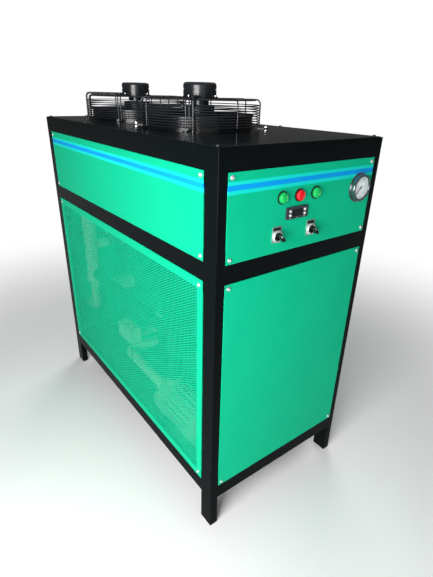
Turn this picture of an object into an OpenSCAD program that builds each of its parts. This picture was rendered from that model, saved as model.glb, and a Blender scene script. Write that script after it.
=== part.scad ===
// Air-cooled water chiller: a welded tube frame on four legs, screwed sheet panels,
// two guarded condenser fans on the roof and the cooling circuit inside.
// Millimetres, +Z up. The control panel faces -Y, and the origin is on the floor
// under the middle of the frame.

/* [Frame] */
// Width of the frame, along X
frame_w = 560; // [540:5:700]
// Depth of the frame, along Y
frame_d = 1130; // [1130:5:1300]
// Height of the frame, floor to roof
frame_h = 1130; // [1050:5:1250]
// Post size along X
post_w = 25; // [20:1:30]
// Post size along Y
post_d = 50; // [40:1:55]
// Height of every rail
rail_h = 50; // [40:1:55]
// Wall of the tubes
tube_wall = 2; // [1.5:0.1:3]
// Floor to the underside of the base rails
leg_clear = 112; // [80:2:150]
// Height of the upper panels, between the top and the middle rails
upper_h = 208; // [195:1:212]

/* [Panels] */
// Thickness of the panel sheet
panel_t = 1.2; // [1:0.1:2]
// Depth of a panel's folded edge
panel_flange = 14; // [8:1:18]
// How far the panels stand out of the frame
panel_proud = 2; // [1.5:0.1:3]
// Gap between a panel and the tubes round it
panel_gap = 0.3; // [0.2:0.05:0.6]
// Unperforated border of the side panels
mesh_border = 25; // [22:1:40]
// Spacing of the air holes, coarser than the fine perforation they stand for
mesh_pitch = 44; // [40:1:60]
// Diameter of the air holes
mesh_hole_d = 30; // [20:1:34]
// Thickness of the roof sheet
roof_t = 1.5; // [1:0.1:3]

/* [Controls] */
// Height of the lamps above the middle rails
lamp_up = 137; // [133:1:140]
// Middle lamp, from the frame's middle plane
lamp_x = -33; // [-40:1:-20]
// Spacing of the lamps
lamp_pitch = 58; // [50:1:70]
// Diameter of a lamp's bezel
lamp_d = 32; // [28:1:34]
// Height of the temperature controller's middle above the middle rails
controller_up = 96; // [93:1:98]
// Controller's middle, from the frame's middle plane
controller_x = -38; // [-45:1:-30]
// Width of the controller's face
controller_w = 74; // [70:1:80]
// Height of the controller's face
controller_h = 30; // [28:1:34]
// Height of the selector switches above the middle rails
selector_up = 44; // [38:1:48]
// Middle of the pair of selectors, from the frame's middle plane
selector_x = -40; // [-50:1:-30]
// Spacing of the two selectors
selector_pitch = 120; // [90:1:140]
// Diameter of a selector's bezel
selector_d = 30; // [28:1:34]
// Height of the pressure gauge above the middle rails
gauge_up = 131; // [118:1:143]
// Pressure gauge, from the right post
gauge_inset = 54; // [50:1:65]
// Diameter of the gauge's case
gauge_d = 72; // [60:1:74]

/* [Fans] */
// Middle of the front fan, behind the frame's front
fan_setback = 473; // [465:1:480]
// Spacing of the two fans
fan_pitch = 430; // [424:1:440]
// Diameter of a fan guard
guard_d = 378; // [372:1:384]
// Height of a fan guard
guard_h = 84; // [76:1:95]
// Thickness of the guard's ribs
rib_d = 4; // [3:0.2:5]
// Thickness of the guard's rings
wire_d = 3; // [2:0.2:3.4]
// Number of rings up the guard's side
side_rings = 8; // [4:1:8]
// Number of rings on the guard's top
top_rings = 6; // [3:1:6]
// Diameter of the fan blades' circle
blade_circle_d = 320; // [290:1:322]
// Number of fan blades
blades = 5; // [4:1:7]
// Pitch of the blades, in degrees
blade_pitch = 24; // [16:1:30]
// Diameter of the motor's cap
cap_d = 102; // [90:1:108]
// Height of the motor's cap above the guard
cap_h = 39; // [30:1:55]

/* [Cooling circuit] */
// Height of the condenser's fin block
coil_h = 80; // [60:1:90]
// Diameter of the compressor's shell
compressor_d = 190; // [160:2:200]
// Height of the compressor's shell
compressor_h = 330; // [260:5:360]
// Width left for the pipes beside the water tank
pipe_bay = 196; // [186:5:236]
// Depth of the water tank
tank_d = 430; // [380:5:440]
// Height of the water tank
tank_h = 430; // [380:5:450]
// Insulated wall of the water tank
tank_wall = 12; // [8:1:20]
// Diameter of the water pipes
water_pipe_d = 40; // [32:1:42]
// Diameter of the upright header
header_d = 56; // [50:1:64]
// Thread core of the water connections
port_core_d = 30.3; // [24:0.1:32]
// Diameter of the pump's motor
pump_d = 130; // [110:2:136]

/* [Hidden] */
$fn = 48;
// Overrun that lets a cut pass right through a face
eps = 1;
// Gap between neighbours that lie against each other without a joint
rest_gap = 0.3;
// Radial clearance of a running fit
run_gap = 0.05;
half_w = frame_w / 2;
half_d = frame_d / 2;
// Clear half width and half depth between the tubes
in_x = half_w - post_w;
in_y = half_d - post_w;
// Half length of the cross tubes between the side rails
cross_x = in_x - rest_gap;
post_top = frame_h - rail_h;
base_top = leg_clear + rail_h;
mid_rail_z = frame_h - 2 * rail_h - upper_h;
mid_top = mid_rail_z + rail_h;
side_half = half_d - post_d;
roof_z = frame_h + roof_t;
// Sides of the cabinet: turn about Z, distance to the frame's face, half width of the opening
front_turn = 0;
right_turn = 90;
rear_turn = 180;
left_turn = -90;
front = [front_turn, half_d, in_x];
right = [right_turn, half_w, side_half];
rear = [rear_turn, half_d, in_x];
left = [left_turn, half_w, side_half];

// Frame
// Thickness of a plug's flange under the post
plug_t = 3;
plug_depth = 20;
// Flat cross tubes under the tray
bearer_h = 25;
bearer_w = 50;
bearer_inset = 120;
tray_t = 1.5;
tray_edge = 18;
tray_gap = 1;
tray_z = leg_clear + bearer_h;
tray_top = tray_z + tray_t;
// Cross tubes that carry the condenser
coil_bearer_w = 25;

// Panel screws and tabs
screw_d = 4;
screw_head_d = 8.6;
screw_head_h = 2.6;
washer_d = 11;
washer_t = 1;
screw_len = 9;
screw_hole_d = 4.6;
screw_inset = 11;
mesh_screw_inset = 16;
tab_t = 2;
tab_leg = 18;
tab_reach = 6;
tab_h = 12;
notch = 32;
roof_setback = 4;
roof_screw_inset = 20;
mesh_t = 1;
mesh_lap = 3;

// Lamps
lamp_z = mid_top + lamp_up;
bezel_h = 3;
lamp_body_d = 22;
lamp_body_len = 40;
lens_d = 26;
lens_h = 11;
lens_dome = 3;
lens_seat = 2;

// Controller
controller_z = mid_top + controller_up;
controller_face = 5;
controller_body_w = 70;
controller_body_h = 27;
controller_body_len = 60;
controller_corner = 4;
window_w = 35;
window_h = 17;
window_sink = 1;
key_d = 6.4;
key_proud = 1.2;
key_travel = 0.8;
key_len = 4;
key_gap = 0.25;
key_dx = 25.5;
key_dz = 5;

// Selectors
selector_z = mid_top + selector_up;
legend_w = 30;
legend_up = 24;
legend_down = 16;
legend_t = 1.5;
legend_rim = 2;
legend_field_h = 8;
legend_sink = 0.7;
selector_hole_d = 22.3;
selector_neck_d = 22;
selector_bezel_h = 7;
selector_wall = 3;
selector_block_w = 26;
selector_block_h = 30;
selector_block_len = 38;
nut_t = 4;
nut_d = 28;
knob_d = 22;
knob_base_h = 5;
knob_stem_d = 10;
knob_stem_len = 9;
grip_w = 8;
grip_len = 27;
grip_h = 14;
knob_reach = panel_proud + legend_t + selector_wall + rest_gap + knob_base_h + grip_h;
knob_rest = -45;

// Gauge
gauge_z = mid_top + gauge_up;
gauge_x = in_x - gauge_inset;
gauge_h = 14;
gauge_wall = 2;
gauge_flange_t = 2;
gauge_rim = 4;
gauge_flange_d = gauge_d + 2 * gauge_rim;
gauge_lip = 4;
gauge_glass_t = 1.6;
gauge_floor = 6;
gauge_dial_t = 0.8;
gauge_stem_d = 12;
gauge_stem_len = 26;
needle_t = 0.8;
needle_w = 2;
needle_hub_d = 7;
needle_pin_d = 2.4;
needle_lift = 1.2;
needle_rest = 225;

// Fans
fan_y = -half_d + fan_setback;
guard_r = guard_d / 2;
bend_r = 14;
weld_sink = 0.8;
foot_out = 19;
foot_r = guard_r + foot_out;
foot_pad_d = 17;
foot_pad_t = 3;
bolt_d = 6;
bolt_head_d = 11;
bolt_head_h = 4.5;
bolt_len = 10;
first_ring_z = 9;
mount_ring_r = 50;
mount_ring_w = 12;
mount_ring_t = 3;
rib_lap = 4;
foot_strap_w = 16;
shroud_gap = 3.2;
shroud_t = 1.5;
shroud_h = 36;
shroud_flange = 8;
lip_r = 3;
blade_t = 1.6;
blade_camber_r = 210;
blade_span_turn = 35;
// Circles that trim a blade's trailing and leading edges, in shares of the blade radius
back_edge_shares = [[0.124, 0.928], 1.048];
front_edge_shares = [[-0.45, 0.8], 0.908];
hub_d = 92;
hub_h = 58;
hub_z = 4;
hub_edge = 6;
neck_d = 56;
motor_flange_t = 3;
ear_r = 57;
ear_d = 16;
ear_screw_d = 5;
ear_head_d = 8.5;
ear_head_h = 3.2;
cap_edge = 9;
cap_groove = 2;
cap_groove_w = 3;
axle_d = 12;
axle_len = 30;
air_gap = 2;
// The motors' leads run over the guards and through the roof; their directions about each fan
lead_turns = [230, 140];
lead_d = 7;
lead_bend = 12;
lead_drop = 18;
grommet_d = 13;
grommet_t = 3;
lead_hole_d = 11;

// Condenser
coil_setback = 275;
coil_rear_gap = 37;
coil_side_gap = 30;
coil_lift = 28;
casing_t = 1.5;
coil_fins = 34;
fin_core = 22;
tube_d = 12;
tube_pitch = 50;
tube_out = 12;

// Compressor
comp_inset = 160;
comp_setback = 435;
comp_x = in_x - comp_inset;
comp_y = -half_d + comp_setback;
comp_dome = 60;
comp_seam = 3;
foot_plate_t = 5;
foot_plate_w = 210;
mount_h = 20;
mount_d = 32;
mount_hole_d = 10;
mount_inset = 20;
mount_bolt_d = 8;
term_w = 60;
term_h = 75;
term_d = 32;
copper_d = 16;
copper_bend = 30;
capillary_d = 5;
capillary_lift = 20;
capillary_z = tray_top + capillary_lift;
drier_d = 48;
drier_len = 110;

// Tank
tank_right_gap = 14;
tank_rear_gap = 20;
tank_w = 2 * in_x - tank_right_gap - pipe_bay;
tank_x = in_x - tank_right_gap - tank_w / 2;
tank_y = in_y - tank_rear_gap - tank_d / 2;
tank_z = tray_top + rest_gap;
tank_top = tank_z + tank_h;
lid_t = 6;
lid_lap = 4;

// Pump
pump_inset = 90;
pump_setback = 245;
pump_lift = 92;
pump_x = -half_w + pump_inset;
pump_y = -half_d + pump_setback;
pump_axis_z = tray_top + pump_lift;
pump_len = 150;
fin_t = 4;
fin_h = 7;
fin_n = 20;
pump_foot_w = 120;
pump_foot_t = 8;
pump_foot_len = 90;
shaft_d = 16;
cowl_t = 2;
cowl_len = 40;
cowl_fan_d = 96;
cowl_fan_t = 12;
volute_d = 140;
volute_len = 56;
impeller_d = 96;
impeller_t = 14;
wheel_vanes = 6;
chamber_gap = 3;
eye_d = 40;
collar_d = 52;
collar_len = 18;
pump_outlet_h = 90;
chamber_setback = 18;
chamber_y = pump_len / 2 + chamber_setback;
volute_end = pump_len / 2 + volute_len + collar_len;

// Water pipes
pipe_wall = 3;
pipe_bend = 32;
outlet_z = 300;
inlet_z = 420;
inlet_x = tank_x;
header_setback = 90;
header_rise = 140;
header_gap = 47;
header_lap = 4;
header_x = pump_x;
header_y = half_d - header_setback;
header_bottom = outlet_z + header_rise;
header_top = mid_rail_z - header_gap;
// The hose from the pump, and the socket in which the header's stub sits
hose_up = 48;
stub_len = 50;
hose_z = header_bottom + hose_up;
hose_y = header_y - header_d / 2 - stub_len;
hose_wall = 4;
hose_lap = 25;
// The bypass from the header over the tank and down into its lid
bypass_gap = 2;
bypass_reach = 90;
bypass_x = tank_x - tank_w / 2 + bypass_reach;
bypass_z = tank_top + lid_t + pipe_bend + bypass_gap;
valve_reach = 103;
valve_x = header_x + valve_reach;
socket_d = 46;
socket_len = 44;
socket_lip = knob_reach - panel_proud;
socket_flange_d = 62;
socket_flange_t = 4;
port_depth = 24;
valve_len = 56;
valve_ball_d = 50;
stem_d = 12;
stem_h = 20;
valve_neck = 6;
valve_top = valve_ball_d / 2 + valve_neck;
handle_len = 60;
handle_d = 12;
handle_rise = 14;
handle_collar_h = 4;
handle_swell = 2;

// Electrical
// Switchgear: place across and width in shares of the plate's width, then depth, place up and
// height in shares of its height
gear_block_shares = [[-0.36, 0.13, 0.47, 0.3, 0.52], [-0.16, 0.13, 0.41, 0.3, 0.47],
  [0.04, 0.15, 0.44, 0.3, 0.55], [0.31, 0.33, 0.23, 0.4, 0.31]];
gear_setback = 165;
gear_w = 360;
gear_h = 150;
gear_t = 2;
gear_rest = 10;
switch_w = 46;
switch_d = 110;
switch_h = 60;
switch_inset = 80;
switch_setback = 455;
switch_x = -half_w + switch_inset;
switch_y = half_d - switch_setback;
switch_z = 350;
switch_bracket = 3;
bracket_w = 45;
// The second switch, on the tank's side
side_switch_w = 80;
side_switch_d = 60;
side_switch_h = 44;
side_switch_setback = 205;
side_switch_lift = 311;
gland_d = 34;
gland_len = 22;
gland_core_d = 25;
gland_bore_d = 14;
gland_inset = 65;
gland_drop = 182;
gland_x = in_x - gland_inset;
gland_z = mid_rail_z - gland_drop;

// Shared shapes

// A box given by two corners
module span(a, b) {
  translate(a) cube([b[0] - a[0], b[1] - a[1], b[2] - a[2]]);
}

// A rectangular tube along X, Y or Z, from corner a to corner b
module tube(a, b, along) {
  inner = [for (i = [0 : 2]) i == along ? -eps : tube_wall];
  difference() {
    span(a, b);
    span(a + inner, b - inner);
  }
}

// A tube whose ends are closed by welded plates
module closed_tube(a, b) {
  wall = [tube_wall, tube_wall, tube_wall];
  difference() {
    span(a, b);
    span(a + wall, b - wall);
  }
}

// Everything drawn for the right half, and its mirror image
module both_x() {
  children();
  mirror([1, 0, 0]) children();
}

module both_y() {
  children();
  mirror([0, 1, 0]) children();
}

// Puts a shape drawn for the front onto any side; y = 0 is the frame's face
module on_side(side) {
  rotate([0, 0, side[0]]) translate([0, -side[1], 0]) children();
}

// A round bar along the outward normal of the front, from depth y0 to depth y1
module bar(d, y0, y1) {
  translate([0, y0, 0]) rotate([-90, 0, 0]) cylinder(h = y1 - y0, d = d);
}

// A rounded rectangle with exact corner arcs
module rounded(w, h, r) {
  square([w - 2 * r, h], center = true);
  square([w, h - 2 * r], center = true);
  for (x = [-1, 1], y = [-1, 1])
    translate([x * (w / 2 - r), y * (h / 2 - r)]) circle(r = r);
}

function unit(v) = v / norm(v);

// A round bar that follows straight runs between points, with round bends
module pipe(points, d, bend) {
  last = len(points) - 1;
  for (i = [0 : last - 1]) {
    a = points[i];
    b = points[i + 1];
    dir = unit(b - a);
    cut_a = i == 0 ? 0 : bend;
    cut_b = i == last - 1 ? 0 : bend;
    start = a + dir * cut_a;
    length = norm(b - a) - cut_a - cut_b;
    translate(start)
      rotate([0, acos(dir[2]), atan2(dir[1], dir[0])])
        cylinder(h = length, d = d);
  }
  if (last > 1) for (i = [1 : last - 1]) {
    into = unit(points[i] - points[i - 1]);
    out = unit(points[i + 1] - points[i]);
    axis = cross(into, out);
    middle = points[i] + (out - into) * bend;
    multmatrix([[-out[0], into[0], axis[0], middle[0]],
      [-out[1], into[1], axis[1], middle[1]],
      [-out[2], into[2], axis[2], middle[2]],
      [0, 0, 0, 1]])
      rotate_extrude(angle = 90) translate([bend, 0]) circle(d = d);
  }
}

// Frame

module corner_posts() {
  color("#14181b")
    both_x() both_y()
      tube([in_x, side_half, plug_t], [half_w, half_d, post_top], 2);
}

module top_rails() {
  color("#14181b") difference() {
    union() {
      both_x() closed_tube([in_x, -half_d, post_top], [half_w, half_d, frame_h]);
      both_y() tube([-cross_x, in_y, post_top], [cross_x, half_d, frame_h], 0);
    }
    roof_screw_places() translate([0, 0, -screw_len]) cylinder(h = screw_len + eps, d = screw_d);
  }
}

// Rails between the posts at one height; the ends are closed by the posts
module rail_ring(z) {
  both_x() tube([in_x, -side_half, z], [half_w, side_half, z + rail_h], 1);
  both_y() tube([-cross_x, in_y, z], [cross_x, half_d, z + rail_h], 0);
}

module mid_rails() {
  color("#14181b") {
    rail_ring(mid_rail_z);
    for (y = [coil_y0, coil_y1])
      tube([-cross_x, y - coil_bearer_w / 2, mid_top - bearer_h],
        [cross_x, y + coil_bearer_w / 2, mid_top], 0);
  }
}

module base_rails() {
  color("#14181b") {
    rail_ring(leg_clear);
    for (y = [-in_y + bearer_inset, 0, in_y - bearer_inset])
      tube([-cross_x, y - bearer_w / 2, leg_clear], [cross_x, y + bearer_w / 2, tray_z], 0);
  }
}

module post_plugs() {
  inset = tube_wall + rest_gap;
  color("#0b0c0d") both_x() both_y() {
    span([in_x, side_half, 0], [half_w, half_d, plug_t]);
    span([in_x + inset, side_half + inset, 0],
      [half_w - inset, half_d - inset, plug_t + plug_depth]);
  }
}

module base_tray() {
  x = in_x - tray_gap;
  y = in_y - tray_gap;
  color("#8f979c") difference() {
    span([-x, -y, tray_z], [x, y, tray_z + tray_edge]);
    span([-x + tray_t, -y + tray_t, tray_top], [x - tray_t, y - tray_t, tray_z + tray_edge + eps]);
  }
}

// Panels

// Screw places of a panel, as [across, up]
function corners(half, z0, z1, inset) =
  [for (x = [-1, 1], z = [z0 + inset, z1 - inset]) [x * (half - inset), z]];

module screw_places(half, z0, z1, inset) {
  for (p = corners(half, z0, z1, inset)) translate([p[0], -panel_proud, p[1]]) children();
}

// A folded sheet panel with its corners notched for the tabs
module tray_panel(half, z0, z1, inset) {
  w = half - panel_gap;
  low = z0 + panel_gap;
  high = z1 - panel_gap;
  back = -panel_proud + panel_t;
  difference() {
    span([-w, -panel_proud, low], [w, -panel_proud + panel_flange, high]);
    span([-w + panel_t, back, low + panel_t],
      [w - panel_t, -panel_proud + panel_flange + eps, high - panel_t]);
    for (x = [-1, 1], z = [low, high])
      translate([x * w, (back + panel_flange) / 2, z])
        cube([2 * notch, panel_flange - back, 2 * notch], center = true);
    screw_places(half, z0, z1, inset) bar(screw_hole_d, -eps, panel_t + eps);
  }
}

module upper_panel(side) {
  on_side(side) tray_panel(side[2], mid_top, post_top, screw_inset);
}

module left_upper_panel() {
  color("#0fbd8f") upper_panel(left);
}

module right_upper_panel() {
  color("#0fbd8f") upper_panel(right);
}

module rear_upper_panel() {
  color("#0fbd8f") upper_panel(rear);
}

module lower_panel(side, inset) {
  on_side(side) tray_panel(side[2], base_top, mid_rail_z, inset);
}

module mesh_frame(side) {
  half = side[2] - mesh_border;
  on_side(side) difference() {
    tray_panel(side[2], base_top, mid_rail_z, mesh_screw_inset);
    span([-half, -panel_proud - eps, base_top + mesh_border],
      [half, eps, mid_rail_z - mesh_border]);
  }
}

// The perforated sheet behind a side panel's window, with staggered holes
module mesh_sheet(side) {
  half = side[2] - mesh_border + mesh_lap;
  low = base_top + mesh_border - mesh_lap;
  high = mid_rail_z - mesh_border + mesh_lap;
  step = mesh_pitch * sqrt(3) / 2;
  columns = floor((2 * half - mesh_hole_d - 4 * mesh_lap) / step);
  rows = floor((high - low - mesh_hole_d - 4 * mesh_lap - mesh_pitch / 2) / mesh_pitch);
  bottom = (low + high) / 2 - (rows + 1 / 2) * mesh_pitch / 2;
  on_side(side)
    translate([0, -panel_proud + panel_t + mesh_t, 0]) rotate([90, 0, 0])
      linear_extrude(mesh_t) difference() {
        translate([-half, low]) square([2 * half, high - low]);
        for (x = [-half, half], z = [low, high])
          translate([x, z]) square(4 * mesh_lap, center = true);
        for (i = [0 : columns], j = [0 : rows])
          translate([(i - columns / 2) * step, bottom + j * mesh_pitch + (i % 2) * mesh_pitch / 2])
            circle(d = mesh_hole_d);
      }
}

module left_mesh_frame() {
  color("#0fbd8f") mesh_frame(left);
}

module right_mesh_frame() {
  color("#0fbd8f") mesh_frame(right);
}

module left_mesh() {
  color("#1fb98c") mesh_sheet(left);
}

module right_mesh() {
  color("#1fb98c") mesh_sheet(right);
}

module control_panel() {
  color("#0fbd8f") difference() {
    upper_panel(front);
    on_side(front) {
      lamp_places() bar(lamp_body_d + rest_gap, -panel_proud - eps, eps);
      translate([controller_x, -eps - panel_proud, controller_z])
        cube_xz(controller_body_w + rest_gap, controller_body_h + rest_gap, panel_t + 2 * eps);
      selector_places() bar(selector_hole_d, -panel_proud - eps, eps);
      translate([gauge_x, 0, gauge_z]) bar(gauge_stem_d + 2 * rest_gap, -panel_proud - eps, eps);
    }
  }
}

// A box centred on X and Z that reaches from y = 0 backwards
module cube_xz(w, h, depth) {
  translate([-w / 2, 0, -h / 2]) cube([w, depth, h]);
}

module front_panel() {
  color("#0fbd8f") lower_panel(front, screw_inset);
}

module rear_panel() {
  color("#0fbd8f") difference() {
    lower_panel(rear, screw_inset);
    port_places() bar(socket_d + 2 * rest_gap, -panel_proud - eps, eps);
    on_side(rear) translate([gland_x, 0, gland_z])
      bar(gland_core_d + rest_gap, -panel_proud - eps, eps);
  }
}

module panel_tab(half, inset, p) {
  side = sign(p[0]);
  reach = inset + tab_reach;
  translate([0, -panel_proud + panel_t, p[1] - tab_h / 2]) difference() {
    union() {
      translate([side > 0 ? half - reach : -half, 0, 0]) cube([reach, tab_t, tab_h]);
      translate([side > 0 ? half - tab_t : -half, 0, 0]) cube([tab_t, tab_leg, tab_h]);
    }
    translate([p[0], 0, tab_h / 2]) bar(screw_d, -eps, tab_t + eps);
  }
}

module panel_tabs() {
  color("#14181b") for (side = [front, right, rear, left]) on_side(side) {
    low_inset = side[2] == side_half ? mesh_screw_inset : screw_inset;
    for (p = corners(side[2], mid_top, post_top, screw_inset)) panel_tab(side[2], screw_inset, p);
    for (p = corners(side[2], base_top, mid_rail_z, low_inset)) panel_tab(side[2], low_inset, p);
  }
}

// A domed pan-head screw with its washer, head towards -Y
module pan_screw() {
  rotate([90, 0, 0]) {
    cylinder(h = washer_t, d = washer_d);
    translate([0, 0, washer_t]) intersection() {
      cylinder(h = screw_head_h, d = screw_head_d);
      translate([0, 0, screw_head_h - screw_head_d]) sphere(r = screw_head_d);
    }
    translate([0, 0, -screw_len]) cylinder(h = screw_len + washer_t, d = screw_d - rest_gap);
  }
}

module roof_screw_places() {
  both_x() both_y() {
    translate([half_w - post_w / 2, half_d - roof_screw_inset, roof_z]) children();
    translate([half_w - post_w / 2, (half_d - roof_screw_inset) / 3, roof_z]) children();
  }
}

module panel_screws() {
  color("#d9dcdd") {
    for (side = [front, right, rear, left]) on_side(side) {
      screw_places(side[2], mid_top, post_top, screw_inset) pan_screw();
      screw_places(side[2], base_top, mid_rail_z,
        side[2] == side_half ? mesh_screw_inset : screw_inset) pan_screw();
    }
    roof_screw_places() rotate([-90, 0, 0]) pan_screw();
  }
}

module top_sheet() {
  x = half_w - roof_setback;
  y = half_d - roof_setback;
  color("#0f1417") difference() {
    span([-x, -y, frame_h], [x, y, roof_z]);
    fan_places() translate([0, 0, -roof_t - eps]) cylinder(h = roof_t + 2 * eps, r = throat_r);
    fan_places() foot_places() translate([0, 0, -roof_t - eps])
      cylinder(h = roof_t + 2 * eps, d = bolt_d + 2 * rest_gap);
    roof_screw_places() translate([0, 0, -roof_t - eps])
      cylinder(h = roof_t + 2 * eps, d = screw_hole_d);
    for (i = [0, 1]) fan_place(i) rotate([0, 0, lead_turns[i]])
      translate([guard_r + rest_gap + lead_d / 2, 0, -roof_t - eps])
        cylinder(h = roof_t + 2 * eps, d = lead_hole_d);
  }
}

// Controls

module lamp_places() {
  for (i = [-1 : 1]) translate([lamp_x + i * lamp_pitch, 0, lamp_z]) children();
}

module lamp_bodies() {
  face = -panel_proud;
  color("#15181a") on_side(front) lamp_places() difference() {
    union() {
      bar(lamp_d, face - bezel_h, face);
      bar(lamp_body_d, face, face + lamp_body_len);
      bar(nut_d, face + panel_t, face + panel_t + nut_t);
    }
    bar(lens_d + rest_gap, face - bezel_h - eps, face - bezel_h + lens_seat);
  }
}

// A lamp lens with a domed front and a ribbed rim
module lens() {
  back = -panel_proud - bezel_h + lens_seat;
  dome_r = 2 * lens_d - lens_dome;
  intersection() {
    bar(lens_d, back - lens_h, back);
    translate([0, back - lens_h + dome_r, 0]) sphere(r = dome_r, $fn = 96);
  }
}

module green_lenses() {
  color("#19c66a") on_side(front)
    for (i = [-1, 1]) translate([lamp_x + i * lamp_pitch, 0, lamp_z]) lens();
}

module red_lens() {
  color("#e3202c") on_side(front) translate([lamp_x, 0, lamp_z]) lens();
}

module key_place(x, z) {
  on_side(front) translate([controller_x + x * key_dx, -panel_proud - controller_face,
    controller_z + z * key_dz]) children();
}

module controller_case() {
  color("#23272b") difference() {
    on_side(front) translate([controller_x, 0, controller_z]) difference() {
      union() {
        translate([0, -panel_proud, 0]) rotate([90, 0, 0]) linear_extrude(controller_face)
          rounded(controller_w, controller_h, controller_corner);
        translate([0, -panel_proud - eps, 0])
          cube_xz(controller_body_w, controller_body_h, controller_body_len + eps);
      }
      translate([0, -panel_proud - controller_face - eps, 0])
        cube_xz(window_w, window_h, window_sink + eps);
    }
    for (x = [-1, 1], z = [-1, 1]) key_place(x, z)
      bar(key_d + 2 * key_gap, -eps, key_len + key_travel + rest_gap);
  }
}

module key_cap(x, z) {
  color("#e9ebea") key_place(x, z) bar(key_d, -key_proud, key_len);
}

module key_upper_left() { key_cap(-1, 1); }
module key_lower_left() { key_cap(-1, -1); }
module key_upper_right() { key_cap(1, 1); }
module key_lower_right() { key_cap(1, -1); }

module selector_places() {
  for (i = [-1, 1]) translate([selector_x + i * selector_pitch / 2, 0, selector_z]) children();
}

module selector_legends() {
  mid = (legend_up - legend_down) / 2;
  face = -panel_proud - legend_t;
  field_z = legend_up - legend_rim - legend_field_h / 2;
  color("#c9ccce") on_side(front) selector_places() difference() {
    translate([0, -panel_proud, mid]) rotate([90, 0, 0]) linear_extrude(legend_t)
      rounded(legend_w, legend_up + legend_down, legend_rim);
    bar(selector_hole_d, face - eps, eps - panel_proud);
    translate([0, face - eps, field_z])
      cube_xz(legend_w - 2 * legend_rim, legend_field_h, legend_sink + eps);
  }
}

module selector_bezels() {
  seat = -panel_proud - legend_t;
  color("#d4d6d7") on_side(front) selector_places() difference() {
    union() {
      bar(selector_d, seat - selector_bezel_h, seat);
      bar(selector_neck_d, seat, -panel_proud + panel_t);
    }
    bar(selector_d - 2 * selector_wall, seat - selector_bezel_h - eps, seat - selector_wall);
    bar(knob_stem_d + 2 * run_gap, seat - selector_bezel_h, eps);
  }
}

module selector_blocks() {
  back = -panel_proud + panel_t;
  color("#1b1e20") on_side(front) selector_places() difference() {
    union() {
      bar(nut_d, back, back + nut_t);
      translate([0, back + nut_t, 0])
        cube_xz(selector_block_w, selector_block_h, selector_block_len);
    }
    bar(knob_stem_d + 2 * rest_gap, back - eps, back + nut_t + knob_stem_len);
  }
}

// A lever knob: round base, stem through the bezel and a slim grip across it
module knob(i) {
  seat = -panel_proud - legend_t - selector_wall - rest_gap;
  top = seat - knob_base_h;
  color("#101214") on_side(front)
    translate([selector_x + i * selector_pitch / 2, 0, selector_z]) rotate([0, knob_rest, 0]) {
      bar(knob_d, top, seat);
      bar(knob_stem_d, seat, seat + knob_stem_len);
      translate([0, top, 0]) rotate([90, 0, 0]) linear_extrude(grip_h) intersection() {
        circle(d = grip_len);
        square([grip_w, grip_len], center = true);
      }
    }
}

module selector_knob_left() { knob(-1); }
module selector_knob_right() { knob(1); }

// Gauge, drawn round its axis with the front towards -Y
module gauge_place() {
  on_side(front) translate([gauge_x, -panel_proud, gauge_z]) children();
}

gauge_in_d = gauge_d - 2 * gauge_wall;
glass_y = -gauge_h + gauge_wall;
dial_y = -gauge_floor;

module gauge_case() {
  color("#bfc4c7") gauge_place() {
    difference() {
      union() {
        bar(gauge_d, -gauge_h, 0);
        bar(gauge_flange_d, -gauge_flange_t, 0);
        bar(gauge_stem_d, -eps, gauge_stem_len);
      }
      bar(gauge_in_d - 2 * gauge_lip, -gauge_h - eps, dial_y);
      bar(gauge_in_d, glass_y, dial_y);
    }
  }
}

module gauge_dial() {
  color("#f2f3f1") gauge_place() {
    bar(gauge_in_d - 2 * rest_gap, dial_y - gauge_dial_t, dial_y);
    bar(needle_pin_d, dial_y - gauge_dial_t - needle_lift - needle_t, dial_y);
  }
}

module gauge_needle() {
  tip = gauge_in_d / 2 - gauge_lip - 2 * needle_w;
  front_y = dial_y - gauge_dial_t - needle_lift;
  color("#16181a") gauge_place() rotate([0, needle_rest, 0]) difference() {
    union() {
      bar(needle_hub_d, front_y - needle_t, front_y);
      translate([0, front_y, 0]) rotate([90, 0, 0]) linear_extrude(needle_t)
        polygon([[-needle_w / 2, -tip / 4], [needle_w / 2, -tip / 4], [needle_w / 2, 0],
          [needle_w / 8, tip], [-needle_w / 8, tip], [-needle_w / 2, 0]]);
    }
    bar(needle_pin_d + 2 * run_gap, front_y - needle_t - eps, front_y + eps);
  }
}

module gauge_glass() {
  color("#e8f2f4", 0.4) gauge_place()
    bar(gauge_in_d - 2 * rest_gap, glass_y, glass_y + gauge_glass_t);
}

// Fans

throat_r = blade_circle_d / 2 + shroud_gap;

module fan_place(i) {
  translate([0, fan_y + i * fan_pitch, roof_z]) children();
}

module fan_places() {
  for (i = [0, 1]) fan_place(i) children();
}

module foot_places() {
  for (a = [45 : 90 : 315]) rotate([0, 0, a]) translate([foot_r, 0, 0]) children();
}

// A venturi ring with a flange below and a rolled lip above
module fan_shrouds() {
  r = throat_r + shroud_t;
  color("#121517") fan_places() rotate_extrude($fn = 96) {
    translate([throat_r, 0]) square([shroud_t + shroud_flange, shroud_t]);
    translate([throat_r, 0]) square([shroud_t, shroud_h]);
    translate([r + lip_r - shroud_t, shroud_h]) intersection() {
      difference() {
        circle(r = lip_r);
        circle(r = lip_r - shroud_t);
      }
      translate([-lip_r, 0]) square([2 * lip_r, lip_r]);
    }
  }
}

module ring(r, z, d) {
  translate([0, 0, z]) rotate_extrude($fn = 96) translate([r, 0]) circle(d = d, $fn = 16);
}

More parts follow.
